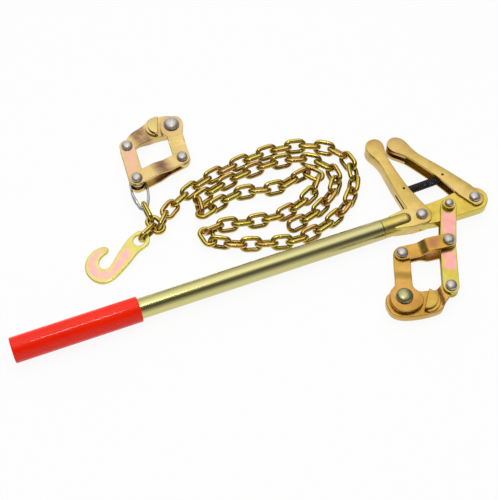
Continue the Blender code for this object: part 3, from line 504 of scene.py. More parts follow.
GOLD = (0.66, 0.46, 0.14)
BRASS = (0.72, 0.53, 0.20)
OLIVE = (0.54, 0.39, 0.10)
TAN = (0.52, 0.27, 0.11)
forged_finish = plating("forged_gold_zinc", [OLIVE, GOLD, BRASS], TAN, LEAF, (0.24, 0.38), 30.0, 0.04)
outline = [on_arm(a, c) for a, c in dog_sides(ARM_SIZE)]
outline += reversed(arc(fork_at, HUB_RADIUS + 1, 40, 262, 382))
outline += [(-14, -HUB_RADIUS - 0.6), (TUBE_TO + 12, HANDLE_Y - SHANK_RADIUS * 0.8),
            (TUBE_TO + 12, HANDLE_Y + SHANK_RADIUS * 0.8), (-15, HANDLE_Y + SHANK_RADIUS + 0.4)]
head = plate("head_forging_arm", outline, LEVER_Z - CHEEK_OUTER, LEVER_Z + CHEEK_OUTER, FORGED_EDGE)
spigot_end = TUBE_TO - SPIGOT
spigot_radius = TUBE_BORE - GAP
shoulder = TUBE_TO + GAP
shank_profile = [(0, spigot_end), (spigot_radius - 0.8, spigot_end), (spigot_radius, spigot_end + 1.5),
                 (spigot_radius, shoulder), (SHANK_RADIUS - 0.4, shoulder), (SHANK_RADIUS, shoulder + 0.4)]
shank_profile += arc((0, SHANK_NOSE), SHANK_RADIUS, 12, 0, math.degrees(1.45))
shank_profile += [(0, SHANK_NOSE + SHANK_RADIUS)]
shank = turned("head_shank", shank_profile, 64, handle_axis, along_x=True)
window = plate("head_window", [on_arm(a, c) for a, c in WINDOW], LEVER_Z - WINDOW_HALF, LEVER_Z + WINDOW_HALF,
               CUT_EDGE)
worked(head, ("UNION", shank), ("DIFFERENCE", channel("arm_channel", on_arm, ARM_CLEAR, ARM_SIZE)),
       ("DIFFERENCE", nose_slot("arm_slot", on_arm, ARM_SIZE)), ("DIFFERENCE", window))
spots = plan(head)
paint(head, blush=0.6 * step_up((spots[:, :2] - fork_at) @ arm_u, TAN_FROM, TAN_TO),
      rim=GREEN_SHARE * step_up(-spots[:, 0], 14, 24) * step_up(spots[:, 2], 6, 20))
fit(head, forged_finish, "gold_zinc", "handle", "head_forging")

# Draw plate: thick flat steel with three bores, cut to shape and plated gold. It is brighter along the cut
# edge, partly from the plating and partly from a painted highlight.
# It turns in the fork on the fork rivet and carries the chain dog and the pull link.
PLATE_HALF = 5.8
PLATE_EYE = 11.5
PLATE_NOSE = 14.5
PLATE_GRID = 2.0
BORE = 4.45
PLATE_TONES = [(0.50, 0.38, 0.05), (0.62, 0.45, 0.08), (0.68, 0.50, 0.12)]
plate_finish = plating("plate_gold_zinc", PLATE_TONES, ROSE, LEAF, (0.22, 0.40), 30.0)
outline = arc(fork_at, PLATE_EYE, 30, 100, 250) + [(12, -13.6), (31.6, -13.9)]
outline += arc(dog_at, PLATE_NOSE, 30, -80, 62) + [(53.2, 15.6), (43.2, 14.6), (31.6, 12.4), (14, 11.6)]
plate_bores = [circle(spot, BORE) for spot in (fork_at, pull_at, dog_at)]
draw_plate = plate("draw_plate_blank", outline, LEVER_Z - PLATE_HALF, LEVER_Z + PLATE_HALF, FORGED_EDGE,
                   plate_bores, (fork_at, (1.0, 0.0), PLATE_GRID))
paint(draw_plate, blush=0.0)
edged(draw_plate, outline, 0.5)
fit(draw_plate, plate_finish, "gold_zinc", "draw_plate", "draw_plate")

# Chain dog: the mirror twin of the fixed arm, forged from steel, plated the same gold and hung on the draw
# plate by its own rivet. A chain link is caught on edge in the slots of the two noses.
DOG_CLEAR = 15.3
outline = dog_sides(DOG_SIZE) + list(reversed(arc((0, 0), HUB_RADIUS, 30, 125, 235)))
outline = [on_dog(a, c) for a, c in outline]
dog = plate("chain_dog_forging", outline, LEVER_Z - CHEEK_OUTER, LEVER_Z + CHEEK_OUTER, FORGED_EDGE)
worked(dog, ("DIFFERENCE", channel("dog_channel", on_dog, DOG_CLEAR, DOG_SIZE)),
       ("DIFFERENCE", nose_slot("dog_slot", on_dog, DOG_SIZE)))
along = (plan(dog)[:, :2] - dog_at) @ dog_u
paint(dog, blush=0.3 * step_up(along, TAN_FROM, TAN_TO), rim=0.0, smoke=0.1)
fit(dog, forged_finish, "gold_zinc", "chain_dog", "chain_dog")

# Rivets of the lever: bright steel with a domed head above and a flatter closed head below, set through the
# stacked pieces. The pin of the pull link stands on a plain gold collar.
RIVET_RADIUS = 4.0
RIVET_HEAD = 4.0
RIVET_WIDTH = 12.6
RIVET_TAIL = 3.0
RIVET_BRIM = 0.7
RIVET_SIDES = 48
BAR_THICK = 2.8
COLLAR_LOW = CHEEK_INNER + BAR_THICK + GAP
COLLAR_HIGH = COLLAR_LOW + 4.0
COLLAR_RADIUS = 6.8
PULL_PIN_HEAD = 3.2
PULL_PIN_WIDTH = 9.6
WARM = (0.52, 0.45, 0.39)
SILVER = (0.62, 0.57, 0.52)
BRIGHT = (0.70, 0.65, 0.60)
rivet_finish = plating("bright_rivet_steel", [WARM, SILVER, BRIGHT], ROSE, SILVER, (0.34, 0.50), 160.0, 0.04)


def rivet(name, at, mid, low, high, tail, head=RIVET_HEAD, width=RIVET_WIDTH):
    """A rivet through a stack from low to high about the middle plane; tail is its closed head below."""
    r = width / 2
    profile = [(0, low - tail)]
    for a in np.linspace(0.25, 1.4, 6):
        profile.append((r * 0.75 * math.sin(a), low - tail * (0.35 + 0.65 * math.cos(a))))
    profile += [(r * 0.9, low - 0.2), (r * 0.9, low), (RIVET_RADIUS, low)]
    profile += [(RIVET_RADIUS, high), (r, high), (r, high + 0.5)]
    for a in np.linspace(0.1, 1.45, 10):
        profile.append((r * math.cos(a), high + RIVET_BRIM + (head - RIVET_BRIM) * math.sin(a)))
    profile.append((0, high + head))
    return turned(name, profile, RIVET_SIDES, (*at, mid))


def bright(piece, finish, slot, body, *nodes):
    """Fits a piece whose finish is the same all over."""
    paint(piece, blush=0.0, rim=0.0)
    return fit(piece, finish, slot, body, *nodes)


stack = CHEEK_OUTER + GAP
for name, at, body, solid_name in (
    ("fork_rivet", fork_at, "handle", "rivet_fork"),
    ("dog_rivet", dog_at, "chain_dog", "rivet_dog"),
):
    lever_rivet = rivet(name, at, LEVER_Z, -stack, stack, RIVET_TAIL)
    bright(lever_rivet, rivet_finish, "silver_steel", body, solid_name)
pull_pin = rivet("pull_pin", pull_at, LEVER_Z, -COLLAR_LOW, COLLAR_HIGH + GAP, RIVET_TAIL, PULL_PIN_HEAD,
                 PULL_PIN_WIDTH)
bright(pull_pin, rivet_finish, "gold_zinc", "pull_link", "pivot_pin")
collar_profile = softened(
    [(5, COLLAR_LOW), (COLLAR_RADIUS, COLLAR_LOW), (COLLAR_RADIUS, COLLAR_HIGH), (BORE, COLLAR_HIGH),
     (BORE, COLLAR_LOW), (5, COLLAR_LOW)],
    0.4,
)[:-1]
collar = turned("pull_collar", collar_profile, RIVET_SIDES, (*pull_at, LEVER_Z), closed=True)
bright(collar, plate_finish, "gold_zinc", "pull_link", "pivot_collar")

# Spring: close wound from blackened wire, with a hook round a steel pin at each end, and it pulls the dog
# against the chain. Its wire is shown thick enough for the turns to look closed. It is built in two halves,
# from the arm pin to the middle and from the middle to the dog pin, and neither half is hung on a body.
PIN_RADIUS = 1.6
SPRING_WIRE = 1.4
SPRING_PITCH = 1.95
COIL_RADIUS = 3.8
COIL_WIRE = 1.8
COIL_STEPS = 20
COIL_START = 35
ARM_PIN = (-4.0, 37.5)
DOG_PIN = (43.0, 0.5)
EYE_START = -230
EYE_SWEEP = 205
EYE_STEPS = 15
pin_arm = fork_at + np.array(ARM_PIN)
pin_dog = dog_at + dog_u * DOG_PIN[0] * DOG_SIZE + dog_out * DOG_PIN[1]
span = np.linalg.norm(pin_dog - pin_arm)
spring_u = (pin_dog - pin_arm) / span
spring_side = np.array((-spring_u[1], spring_u[0]))
PIN_TONES = [(0.05, 0.035, 0.01), (0.10, 0.07, 0.02)]
pin_finish = plating("dark_olive_zinc", PIN_TONES, ROSE, LEAF, (0.25, 0.45), 160.0)
pin_reach = CHEEK_OUTER + 0.2
pin_profile = softened(
    [(0, -pin_reach), (PIN_RADIUS, -pin_reach), (PIN_RADIUS, pin_reach), (0, pin_reach)],
    0.4,
)
for name, at, body, solid_name in (
    ("arm_spring_pin", pin_arm, "handle", "spring_pin_arm"),
    ("dog_spring_pin", pin_dog, "chain_dog", "spring_pin_dog"),
):
    bright(turned(name, pin_profile, 24, (*at, LEVER_Z)), pin_finish, "olive_zinc", body, solid_name)


def wire(name, path, radius, sides=10):
    """One unbroken round wire along a path, closed at both ends."""
    path = [np.array(p, float) for p in path]
    points = []
    up = np.array((0.0, 0.0, 1.0))
    for i, p in enumerate(path):
        t = path[min(i + 1, len(path) - 1)] - path[max(i - 1, 0)]
        t /= np.linalg.norm(t)
        up = up - t * (up @ t)
        up /= np.linalg.norm(up)
        side = np.cross(t, up)
        for k in range(sides):
            a = 2 * math.pi * k / sides
            points.append(tuple(p + radius * (math.cos(a) * up + math.sin(a) * side)))
    faces = [tuple(range(sides)), tuple((len(path) - 1) * sides + k for k in range(sides))]
    for i in range(len(path) - 1):
        for k in range(sides):
            j = (k + 1) % sides
            faces.append((i * sides + k, i * sides + j, (i + 1) * sides + j, (i + 1) * sides + k))
    return solid(name, points, faces, 60)


hook_radius = PIN_RADIUS + GAP + SPRING_WIRE / 2
coil_from = hook_radius + SPRING_WIRE + 3.0
coil_length = span - 2 * coil_from
turns = int(coil_length / SPRING_PITCH)
end_hook = []
for k in range(EYE_STEPS + 1):
    a = math.radians(EYE_START + EYE_SWEEP * k / EYE_STEPS)
    end_hook.append((hook_radius * math.cos(a), hook_radius * math.sin(a), 0.0))
end_hook.append((hook_radius + 1.5, 0.6, 0.6))
coil = []
for k in range(turns * COIL_STEPS + 1):
    a = 2 * math.pi * k / COIL_STEPS + math.radians(COIL_START)
    coil.append((coil_from + coil_length * k / (turns * COIL_STEPS), COIL_RADIUS * math.cos(a),
                 COIL_RADIUS * math.sin(a)))
lead = (coil_from - 0.8, coil[0][1] * 0.68, coil[0][2] * 0.6)
trail = (span - coil_from + 0.8, coil[-1][1] * 0.68, coil[-1][2] * 0.6)
run = end_hook + [lead] + coil + [trail] + [(span - x, -y, z) for x, y, z in reversed(end_hook)]
path = [(*(pin_arm + spring_u * x + spring_side * y), LEVER_Z + z) for x, y, z in run]
SOOT = (0.08, 0.07, 0.08)
SPRING_TONES = [(0.030, 0.028, 0.032), (0.060, 0.055, 0.060)]
spring_finish = plating("oiled_black_wire", SPRING_TONES, SOOT, SOOT, (0.48, 0.62), 200.0, 0.1, metal=0.7)
halfway = len(path) // 2
middle = layout + Vector((*((pin_arm + pin_dog) / 2), LEVER_Z)) * MM
ends = [layout + Vector((*at, LEVER_Z)) * MM for at in (pin_arm, pin_dog)]
for name, part, pair, start, end in (
    ("spring_arm_half", path[:halfway + 1], ("handle", "draw_plate"), ends[0], middle),
    ("spring_dog_half", path[halfway:], ("draw_plate", "chain_dog"), middle, ends[1]),
):
    half_spring = wire(name, part, COIL_WIRE / 2)
    paint(half_spring, blush=0.0, rim=0.0)
    half_spring.data.materials.append(spring_finish)
    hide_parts("dog_spring")
    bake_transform(half_spring)

# Pull link: two flat steel bars with round ends, above and below the draw plate, which hang the head gripper
# on it. They are held by the pin and its collar. The plating has bloomed pink along the middle of the bars.
BAR_HALF = 8.5
BAR_EDGE = 0.55
BAR_GRID = 1.5
BLOOM_EDGE = 1.2
BLOOM_FADE = 1.6
PINK = (0.82, 0.34, 0.34)
LIME = (0.56, 0.52, 0.08)
BLOOM_TONES = [(0.52, 0.42, 0.07), (0.56, 0.46, 0.08), (0.62, 0.50, 0.16)]
bloom_finish = plating("bloomed_rose_zinc", BLOOM_TONES, PINK, LIME, (0.18, 0.34), 36.0)


def stadium(a, b, half, count=24):
    """Outline of a bar with round ends about two pivots."""
    a, b = np.array(a), np.array(b)
    angle = math.degrees(math.atan2(*(b - a)[::-1]))
    return arc(a, half, count, angle + 90, angle + 270) + arc(b, half, count, angle - 90, angle + 90)


def flat_bar(name, a, b, half, low, high, bloom, shift=None):
    """A bar with bores at both pivots; bloom(share along, gap to the edge) is where its bloom colour goes.
    That is the plating's pink or umber, and painted shade on the bend of the chain gripper's cross bars.
    """
    a, b = np.array(a), np.array(b)
    length = np.linalg.norm(b - a)
    u = (b - a) / length
    outline = stadium(a, b, half)
    bores = [circle(a, BORE), circle(b, BORE)]
    bar = plate(name, outline, low, high, BAR_EDGE, bores, (a, u, BAR_GRID), shift)
    spots = plan(bar)[:, :2]
    paint(bar, blush=bloom((spots - a) @ u / length, gap_to(spots, outline)))
    return edged(bar, outline, 0.5, BAR_EDGE)


def middle_bloom(low, high):
    """A bloom between two shares of a bar's length that stays off its edge."""
    def bloom(along, near):
        lengthwise = step_up(along, low - 0.05, low + 0.05) * step_up(-along, -high - 0.05, -high + 0.05)
        return lengthwise * step_up(near, BLOOM_EDGE, BLOOM_EDGE + BLOOM_FADE)
    return bloom


head_grip_at = pivot("head_grip_close")
for level, sign in (("upper", 1), ("lower", -1)):
    low, high = sorted((sign * CHEEK_INNER, sign * (CHEEK_INNER + BAR_THICK)))
    bar = flat_bar(f"pull_bar_{level}", pull_at, head_grip_at, BAR_HALF, LEVER_Z + low, LEVER_Z + high,
                   middle_bloom(0.2, 0.8))
    fit(bar, bloom_finish, "rose_zinc", "pull_link", f"pull_link_{level}")

# Head gripper: four riveted pieces that close on a fence wire when it is pulled. Flat side bars, joggled
# cross bars, a jaw lever with a cam hub and a deep jaw body with a half-moon lug, all of steel, plated orange
# gold. It hangs on the pull link by its first rivet.
CORE = 5.4
BAR_INNER = 3.0
SEAT = 0.15
BODY_DEPTH = 9.65
BODY_EDGE = 1.1
WIRE_GAP = 2.2
LUG_RADIUS = 11.5
LUG_TILT = 29.0
BRIM = 1.5
BAR_TAIL = 2.6
CAM_TAIL = 1.6
CAM_HEAD = 5.0
CAM_WIDTH = 18.0
HEAD_CROSS_INNER = CHEEK_INNER + BAR_THICK + GAP
HEAD_HUB = ((-10, 11.5, 10.5), (-6, 14.6, 16), (0, 15, 19.6), (6, 14.2, 19.8), (11, 11.8, 16.6), (15, 8, 11),
            (17.4, 3, 4.5))
HEAD_BODY = ((-19.5, -1, 5), (-18.2, -6, 12), (-13, -10.5, 17.5), (-5, -11.8, 21), (8, -8.5, 23),
             (20, -4.2, 23.4), (30.8, -3.2, 22.6), (35.8, -1.6, 20.8))
HEAD_REACH = 20.7
HEAD_LUG_SHIFT = -4.0
HEAD_TAIL = 1.4
ORANGE_TONES = [(0.42, 0.22, 0.04), (0.55, 0.31, 0.06), (0.62, 0.38, 0.11)]
UMBER = (0.42, 0.17, 0.08)
AMBER = (0.60, 0.42, 0.10)
orange_finish = plating("orange_gold_zinc", ORANGE_TONES, UMBER, AMBER, (0.20, 0.36), 34.0)
OLIVE_TONES = [(0.30, 0.28, 0.11), (0.44, 0.42, 0.20), (0.52, 0.50, 0.27)]
olive_rivet_finish = plating("olive_rivet_zinc", OLIVE_TONES, ROSE, LEAF, (0.28, 0.42), 120.0, 0.04)


def gripper(tag, mid, cross_inner):
    """A gripper's pivots a, b, c and d, in turn round its four pieces, and the ways u along its cross bars,
    out from them and v along its side bars. Its cross bars start at cross_inner from the plane mid."""
    a, b, d = (pivot(tag + joint) for joint in ("_close", "_jaw_turn", "_base_turn"))
    cross = np.linalg.norm(b - a)
    side = np.linalg.norm(d - a)
    u = (b - a) / cross
    return SimpleNamespace(tag=tag, mid=mid, cross_inner=cross_inner, a=a, b=b, c=b + d - a, d=d, cross=cross,
                           side=side, u=u, out=np.array((-u[1], u[0])), v=(d - a) / side)


def gripper_bars(grip, side_bloom, side_finish, cross_bloom_and_shade, cross_finish):
    """Two flat side bars, and two cross bars that are joggled in to the level of the side bars."""
    for level, sign in (("upper", 1), ("lower", -1)):
        low, high = sorted((sign * BAR_INNER, sign * (BAR_INNER + BAR_THICK)))
        bar = flat_bar(f"{grip.tag}_side_{level}", grip.a, grip.d, BAR_HALF, grip.mid + low, grip.mid + high,
                       side_bloom)
        fit(bar, side_finish, "rose_zinc", grip.tag + "_side", f"{grip.tag}_side_bar_{level}")
        low, high = sorted((sign * grip.cross_inner, sign * (grip.cross_inner + BAR_THICK)))
        drop = sign * (BAR_INNER - grip.cross_inner)

        def joggle(along, upper):
            return drop * float(step_up(along, grip.cross * 0.42, grip.cross * 0.68))

        bar = flat_bar(f"{grip.tag}_cross_{level}", grip.a, grip.b, BAR_HALF - 0.4, grip.mid + low,
                       grip.mid + high, cross_bloom_and_shade, joggle)
        fit(bar, cross_finish, "gold_zinc", grip.tag + "_cross", f"{grip.tag}_cross_bar_{level}")


def jaw_lever(grip, hub, finish):
    """The jaw lever: a flat neck between the cross bars that steps up into the cam hub on the jaw body."""
    w = BAR_HALF + 0.5
    neck = [(0, w), (grip.side * 0.4, w), (grip.side * 0.6, w), (grip.side + hub[0][0] - 3.5, w)]
    right = [(grip.side + x, r) for x, _, r in hub]
    left = [(grip.side + x, -l) for x, l, _ in hub]
    shape = eased(neck + right + left[::-1] + [(s, -t) for s, t in neck[::-1]], 3)
    shape += [(-w * math.sin(q), -w * math.cos(q)) for q in np.linspace(0.1, math.pi - 0.1, 24)]
    toward = np.array((grip.v[1], -grip.v[0]))
    outline = [tuple(grip.b + grip.v * s - toward * t) for s, t in shape]
    bores = [circle(grip.b, BORE), circle(grip.c, BORE + 0.1)]

    def rise(along, upper):
        return (SEAT + CORE / 2) * float(step_up(along, grip.side * 0.38, grip.side * 0.64))

    lever = plate(f"{grip.tag}_lever", outline, grip.mid - CORE / 2, grip.mid + CORE / 2, FORGED_EDGE, bores,
                  (grip.b, grip.v, BAR_GRID), rise)
    along = (plan(lever)[:, :2] - grip.b) @ grip.v
    paint(lever, blush=0.2 * step_up(along, grip.side * 0.62, grip.side * 0.8))
    edged(lever, outline, 0.5)
    fit(lever, finish, "gold_zinc", grip.tag + "_jaw", f"{grip.tag}_jaw_lever")


def jaw_body(grip, edges, finish):
    """The jaw body: deep below the hub, from edges of (along, near side, far side), then a slope up to the
    flat end between the side bars."""
    back = edges[0][0]
    rim = edges[-1][0]
    step = max(rim + 4.5, grip.cross - BAR_HALF - 2.0)
    edges = edges[1:] + ((step, -4.2, 15.0),)
    end = BAR_HALF - GAP
    far = [(e, o) for e, _, o in edges]
    close = [(e, i) for e, i, _ in edges]
    shape = eased([(back, 3)] + far + [(grip.cross - 2, end)], 3)
    for q in np.linspace(0.1, math.pi - 0.1, 24):
        shape.append((grip.cross + end * math.sin(q), end * math.cos(q)))
    shape += eased([(grip.cross - 2, -end)] + close[::-1] + [(back, 2)], 3)
    outline = [tuple(grip.c - grip.u * e + grip.out * o) for e, o in shape]
    bores = [circle(grip.c, BORE), circle(grip.d, BORE)]

    def height(along, upper):
        rise = float(step_up(along, rim - 1, step + 1))
        return rise * (CORE / 2 + SEAT if upper else BODY_DEPTH + SEAT - CORE / 2)

    top = grip.mid - SEAT
    base = plate(f"{grip.tag}_base", outline, top - BODY_DEPTH, top, BODY_EDGE, bores,
                 (grip.c, -grip.u, BAR_GRID), height)
    along = (plan(base)[:, :2] - grip.c) @ -grip.u
    # Painted shade on the slope from the deep part up to the flat end, in the bloom colour of the finish.
    shade = step_up(along, rim - 4, rim + 3) * step_up(-along, -step - 3, -step + 5)
    paint(base, blush=0.9 * shade)
    edged(base, outline, 0.35, BODY_EDGE)
    fit(base, finish, "gold_zinc", grip.tag + "_base", f"{grip.tag}_jaw_body")


def jaw_lug(grip, reach, shift, finish):
    """The half-moon lug of the jaw body, which the wire is pressed against, and the step round its foot."""
    def on_lug(x, y):
        e, o = turn(LUG_TILT) * (reach + WIRE_GAP + x) + turn(LUG_TILT + 90) * (shift + y)
        return tuple(grip.c - grip.u * e + grip.out * o)

    foot = grip.mid - SEAT
    moon = [on_lug(x, y) for x, y in arc((0, 0), LUG_RADIUS, 40, -90, 90)]
    lug = plate(f"{grip.tag}_lug", moon, foot - 1.0, grip.mid + SEAT + CORE + GAP, FORGED_EDGE)
    brim = [on_lug(BRIM + x, 0.4 + y) for x, y in arc((0, 0), LUG_RADIUS + BRIM, 40, -82, 82)]
    lug_step = plate(f"{grip.tag}_lug_step", brim, foot - 1.5, grip.mid + 2.4, 0.6)
    for piece, shine in ((lug, 0.5), (lug_step, 0.25)):
        paint(piece, blush=0.0, rim=shine)
        fit(piece, finish, "gold_zinc", grip.tag + "_base", f"{grip.tag}_jaw_body")


def gripper_rivets(grip, tail, cam_finish):
    """Three round rivets at a, b and d, and the broad cam rivet at c."""
    bar_face = BAR_INNER + BAR_THICK + GAP
    cross_face = grip.cross_inner + BAR_THICK + GAP
    for letter, at, face, closing, body in (
        ("a", grip.a, cross_face, tail, "_cross"),
        ("b", grip.b, bar_face, BAR_TAIL, "_cross"),
        ("d", grip.d, bar_face, BAR_TAIL, "_side"),
    ):
        round_rivet = rivet(f"{grip.tag}_round_rivet_{letter}", at, grip.mid, -face, face, closing)
        bright(round_rivet, rivet_finish, "silver_steel", grip.tag + body, f"{grip.tag}_rivet_{letter}")
    low = -SEAT - BODY_DEPTH - GAP
    high = SEAT + CORE + GAP
    cam = rivet(f"{grip.tag}_cam_rivet", grip.c, grip.mid, low, high, CAM_TAIL, CAM_HEAD, CAM_WIDTH)
    bright(cam, cam_finish, "olive_zinc", grip.tag + "_base", f"{grip.tag}_rivet_c")


def umber_patch(along, near):
    """Where the cross bars of the head gripper turned umber."""
    return 0.8 * step_up(along, 0.18, 0.26) * step_up(-along, -0.50, -0.40) * step_up(near, 2.0, 4.0)


head_grip = gripper("head_grip", LEVER_Z, HEAD_CROSS_INNER)
gripper_bars(head_grip, middle_bloom(0.18, 0.62), bloom_finish, umber_patch, orange_finish)
jaw_lever(head_grip, HEAD_HUB, orange_finish)
jaw_body(head_grip, HEAD_BODY, orange_finish)
jaw_lug(head_grip, HEAD_REACH, HEAD_LUG_SHIFT, orange_finish)
gripper_rivets(head_grip, HEAD_TAIL, olive_rivet_finish)

# Chain gripper: the like of the head gripper with its own jaw, on the end of the chain. It is steel, plated
# pale gold, with painted shade where the cross bars and the body bend. The strap holds it by its first rivet.
CHAIN_GRIP_Z = 11.7
CHAIN_HUB = ((-11, 10.2, 12.2), (-8, 11.4, 13.6), (-3, 12.8, 13.8), (1, 13.2, 13.4), (6, 12, 12.2),
             (9.5, 9, 9.5), (11.5, 4, 5))
CHAIN_BODY = ((-13.5, -1, 5), (-12.2, -5, 9), (-8, -9.5, 14.5), (-1, -11.5, 19), (8, -8.5, 21.5),
              (15, -5.4, 21.8), (20, -4.2, 21.4), (28, -2.4, 19.6))
CHAIN_REACH = 13.4
CHAIN_LUG_SHIFT = 0.5
CHAIN_TAIL = 2.5
PALE_TONES = [(0.55, 0.39, 0.13), (0.67, 0.49, 0.20), (0.71, 0.53, 0.23)]
PEACH = (0.74, 0.43, 0.30)
SLOPE_SHADE = (0.30, 0.17, 0.10)
LEMON = (0.70, 0.56, 0.20)
pale_finish = plating("pale_gold_zinc", PALE_TONES, PEACH, LEMON, (0.18, 0.32), 34.0)
# The same pale gold, with a dark brown bloom colour for the painted shade on the bends and the body slope.
shaded_finish = plating("smoked_gold_zinc", PALE_TONES, SLOPE_SHADE, LEMON, (0.18, 0.32), 34.0)


def smoked_bend(along, near):
    """Painted shade on the bend of the cross bars, where they slope away from the light."""
    return 0.95 * step_up(along, 0.30, 0.44) * step_up(-along, -0.80, -0.62)


def peach_middle(along, near):
    """The bloom of the side bars, all but their edge."""
    return 0.8 * step_up(near, 0.8, 2.5)


chain_grip = gripper("chain_grip", CHAIN_GRIP_Z, CHEEK_INNER)
gripper_bars(chain_grip, peach_middle, pale_finish, smoked_bend, shaded_finish)
jaw_lever(chain_grip, CHAIN_HUB, pale_finish)
jaw_body(chain_grip, CHAIN_BODY, shaded_finish)
jaw_lug(chain_grip, CHAIN_REACH, CHAIN_LUG_SHIFT, pale_finish)
gripper_rivets(chain_grip, CHAIN_TAIL, rivet_finish)

# Chain: welded oval links of round steel wire, yellow passivated to olive gold, each with the slight swelling
# of its weld. It lies beside the handle as one flattened spiral, from the strap in to its free end.
WIRE = 5.2
WIRE_SIDES = 14
LINK_PITCH = WIRE * 3.2
LINK_INNER = WIRE * 1.56
LINK_INWARD = WIRE * 0.53 * math.cos(math.pi / 5)
LINK_COUNT = 67
LINK_SLACK = WIRE / 2 - LINK_INWARD + 0.03
LINK_BEND = 10
WELD_WIDTH = 1.3
WELD_SWELL = 0.07
RUN_LEAST = 3
RUN_MOST = 6
GOLDEN_SHARE = 0.618034
ROUTE_CORNER = np.array((-30.0, HANDLE_Y + TUBE_RADIUS))
ROUTE = (
    (-244.0, 107.4, 0.5, 0), (-242.0, 90.0, 0.5, 0), (-235.0, 74.0, 0.0, 0), (-226.0, 87.5, 0.0, 8),
    (-211.5, 102.0, 0.0, 30), (-190.0, 113.5, 0.0, 45), (-167.0, 121.5, 0.0, 45), (-143.0, 126.5, 0.0, 45),
    (-119.0, 130.0, 0.0, 45), (-97.0, 131.5, 0.0, 45), (-76.0, 131.0, 0.0, 45), (-54.0, 127.0, 0.0, 45),
    (-36.0, 119.0, 0.0, 45), (-21.0, 108.0, 0.0, 45), (-12.0, 94.0, 0.0, 45), (-10.5, 78.0, 0.0, 45),
    (-15.5, 61.0, 0.0, 45), (-26.0, 44.5, 0.0, 45), (-42.0, 30.5, 0.0, 45), (-60.0, 21.5, 0.0, 45),
    (-80.0, 15.5, 0.0, 45), (-100.0, 12.5, 0.0, 45), (-118.0, 14.5, 0.0, 45), (-134.0, 19.5, 0.0, 45),
    (-150.0, 24.5, 0.0, 45), (-166.0, 30.0, 0.0, 45), (-180.0, 37.0, 0.0, 30), (-192.0, 43.5, 0.0, 0),
    (-198.0, 51.0, 0.0, 0), (-193.0, 58.0, 0.0, 0), (-182.0, 59.5, 0.0, 15), (-168.0, 57.5, 0.0, 45),
    (-153.0, 54.0, 0.0, 45), (-138.0, 50.5, 0.0, 45), (-122.0, 48.5, 0.0, 45), (-106.0, 48.0, 0.0, 45),
    (-90.0, 52.0, 0.0, 45), (-77.0, 57.0, 0.0, 45), (-64.0, 63.5, 0.0, 40), (-55.0, 71.5, 0.0, 10),
    (-52.0, 80.5, 0.0, 0), (-57.5, 88.5, 0.0, 0), (-67.0, 91.5, 0.0, 10), (-79.0, 88.0, 0.0, 35),
    (-92.0, 83.0, 0.0, 45), (-107.0, 83.5, 0.0, 45), (-126.0, 89.0, 0.0, 45), (-145.0, 91.0, 0.0, 45),
    (-163.0, 87.0, 0.0, 45), (-177.0, 82.5, 0.0, 30), (-190.0, 78.0, 0.0, 5), (-200.0, 76.5, 0.0, 0),
    (-205.0, 82.0, 0.0, 0), (-201.0, 88.5, 0.0, 0), (-191.5, 93.0, 0.0, 20), (-179.0, 99.5, 0.0, 45),
    (-163.0, 106.0, 0.0, 45), (-143.0, 111.0, 0.0, 45), (-122.0, 114.0, 0.0, 45), (-100.0, 115.5, 0.0, 45),
    (-80.0, 114.5, 0.0, 45), (-62.0, 110.5, 0.0, 45), (-47.0, 102.0, 0.0, 45), (-36.0, 90.0, 0.0, 45),
    (-31.0, 77.0, 0.0, 45), (-36.0, 64.0, 0.0, 45), (-50.0, 50.5, 0.0, 45), (-68.0, 39.5, 0.0, 45),
    (-86.0, 33.5, 0.0, 45), (-104.0, 30.5, 0.0, 45),
)


def rest_height(tilt):
    """Centre height at which links of this tilt, and the next ones a quarter turn on, lie on the ground."""
    a = math.radians(tilt)
    return (LINK_INNER + WIRE) / 2 * max(abs(math.sin(a)), abs(math.cos(a))) + WIRE / 2


def smooth_route():
    """Close points (x, y, z, tilt) on a curve through the route."""
    pts = [np.array((*(ROUTE_CORNER + np.array((x, y))), lift, tilt), float) for x, y, lift, tilt in ROUTE]
    pts[0][2] = CHAIN_GRIP_Z - rest_height(0)
    pts.append(pts[-1] * 3 - pts[-2] * 2)
    close = []
    for i in range(len(pts) - 1):
        p0, p1, p2, p3 = pts[max(i - 1, 0)], pts[i], pts[i + 1], pts[min(i + 2, len(pts) - 1)]
        for s in np.arange(24) / 24:
            q = 0.5 * (2 * p1 + (p2 - p0) * s + (2 * p0 - 5 * p1 + 4 * p2 - p3) * s * s
                       + (3 * p1 - p0 - 3 * p2 + p3) * s ** 3)
            close.append(np.array((q[0], q[1], rest_height(q[3]) + q[2], q[3])))
    return close


def roll_of(index, tilt):
    """Roll of a link, a quarter turn from the one before it."""
    return tilt + (0 if index % 2 else 90)


def link_seats():
    """Start, end and tilt of each link: one pitch along the route each, seated in the link before."""
    close = smooth_route()
    seats = []
    here = close[0]
    before = None
    for far in close[1:]:
        reach = np.linalg.norm(far[:3] - here[:3])
        if len(seats) == LINK_COUNT or reach < LINK_PITCH:
            continue
        t = (far[:3] - here[:3]) / reach
        tilt = far[3] if before is None else (here[3] + far[3]) / 2
        start = here[:3]
        if before is not None:
            start = start + (before - t) * math.cos(math.radians(2 * roll_of(len(seats), tilt))) * LINK_INWARD
        end = start + t * LINK_PITCH
        seats.append((start, end, tilt))
        here = np.array((*end, far[3]))
        before = t
    return seats


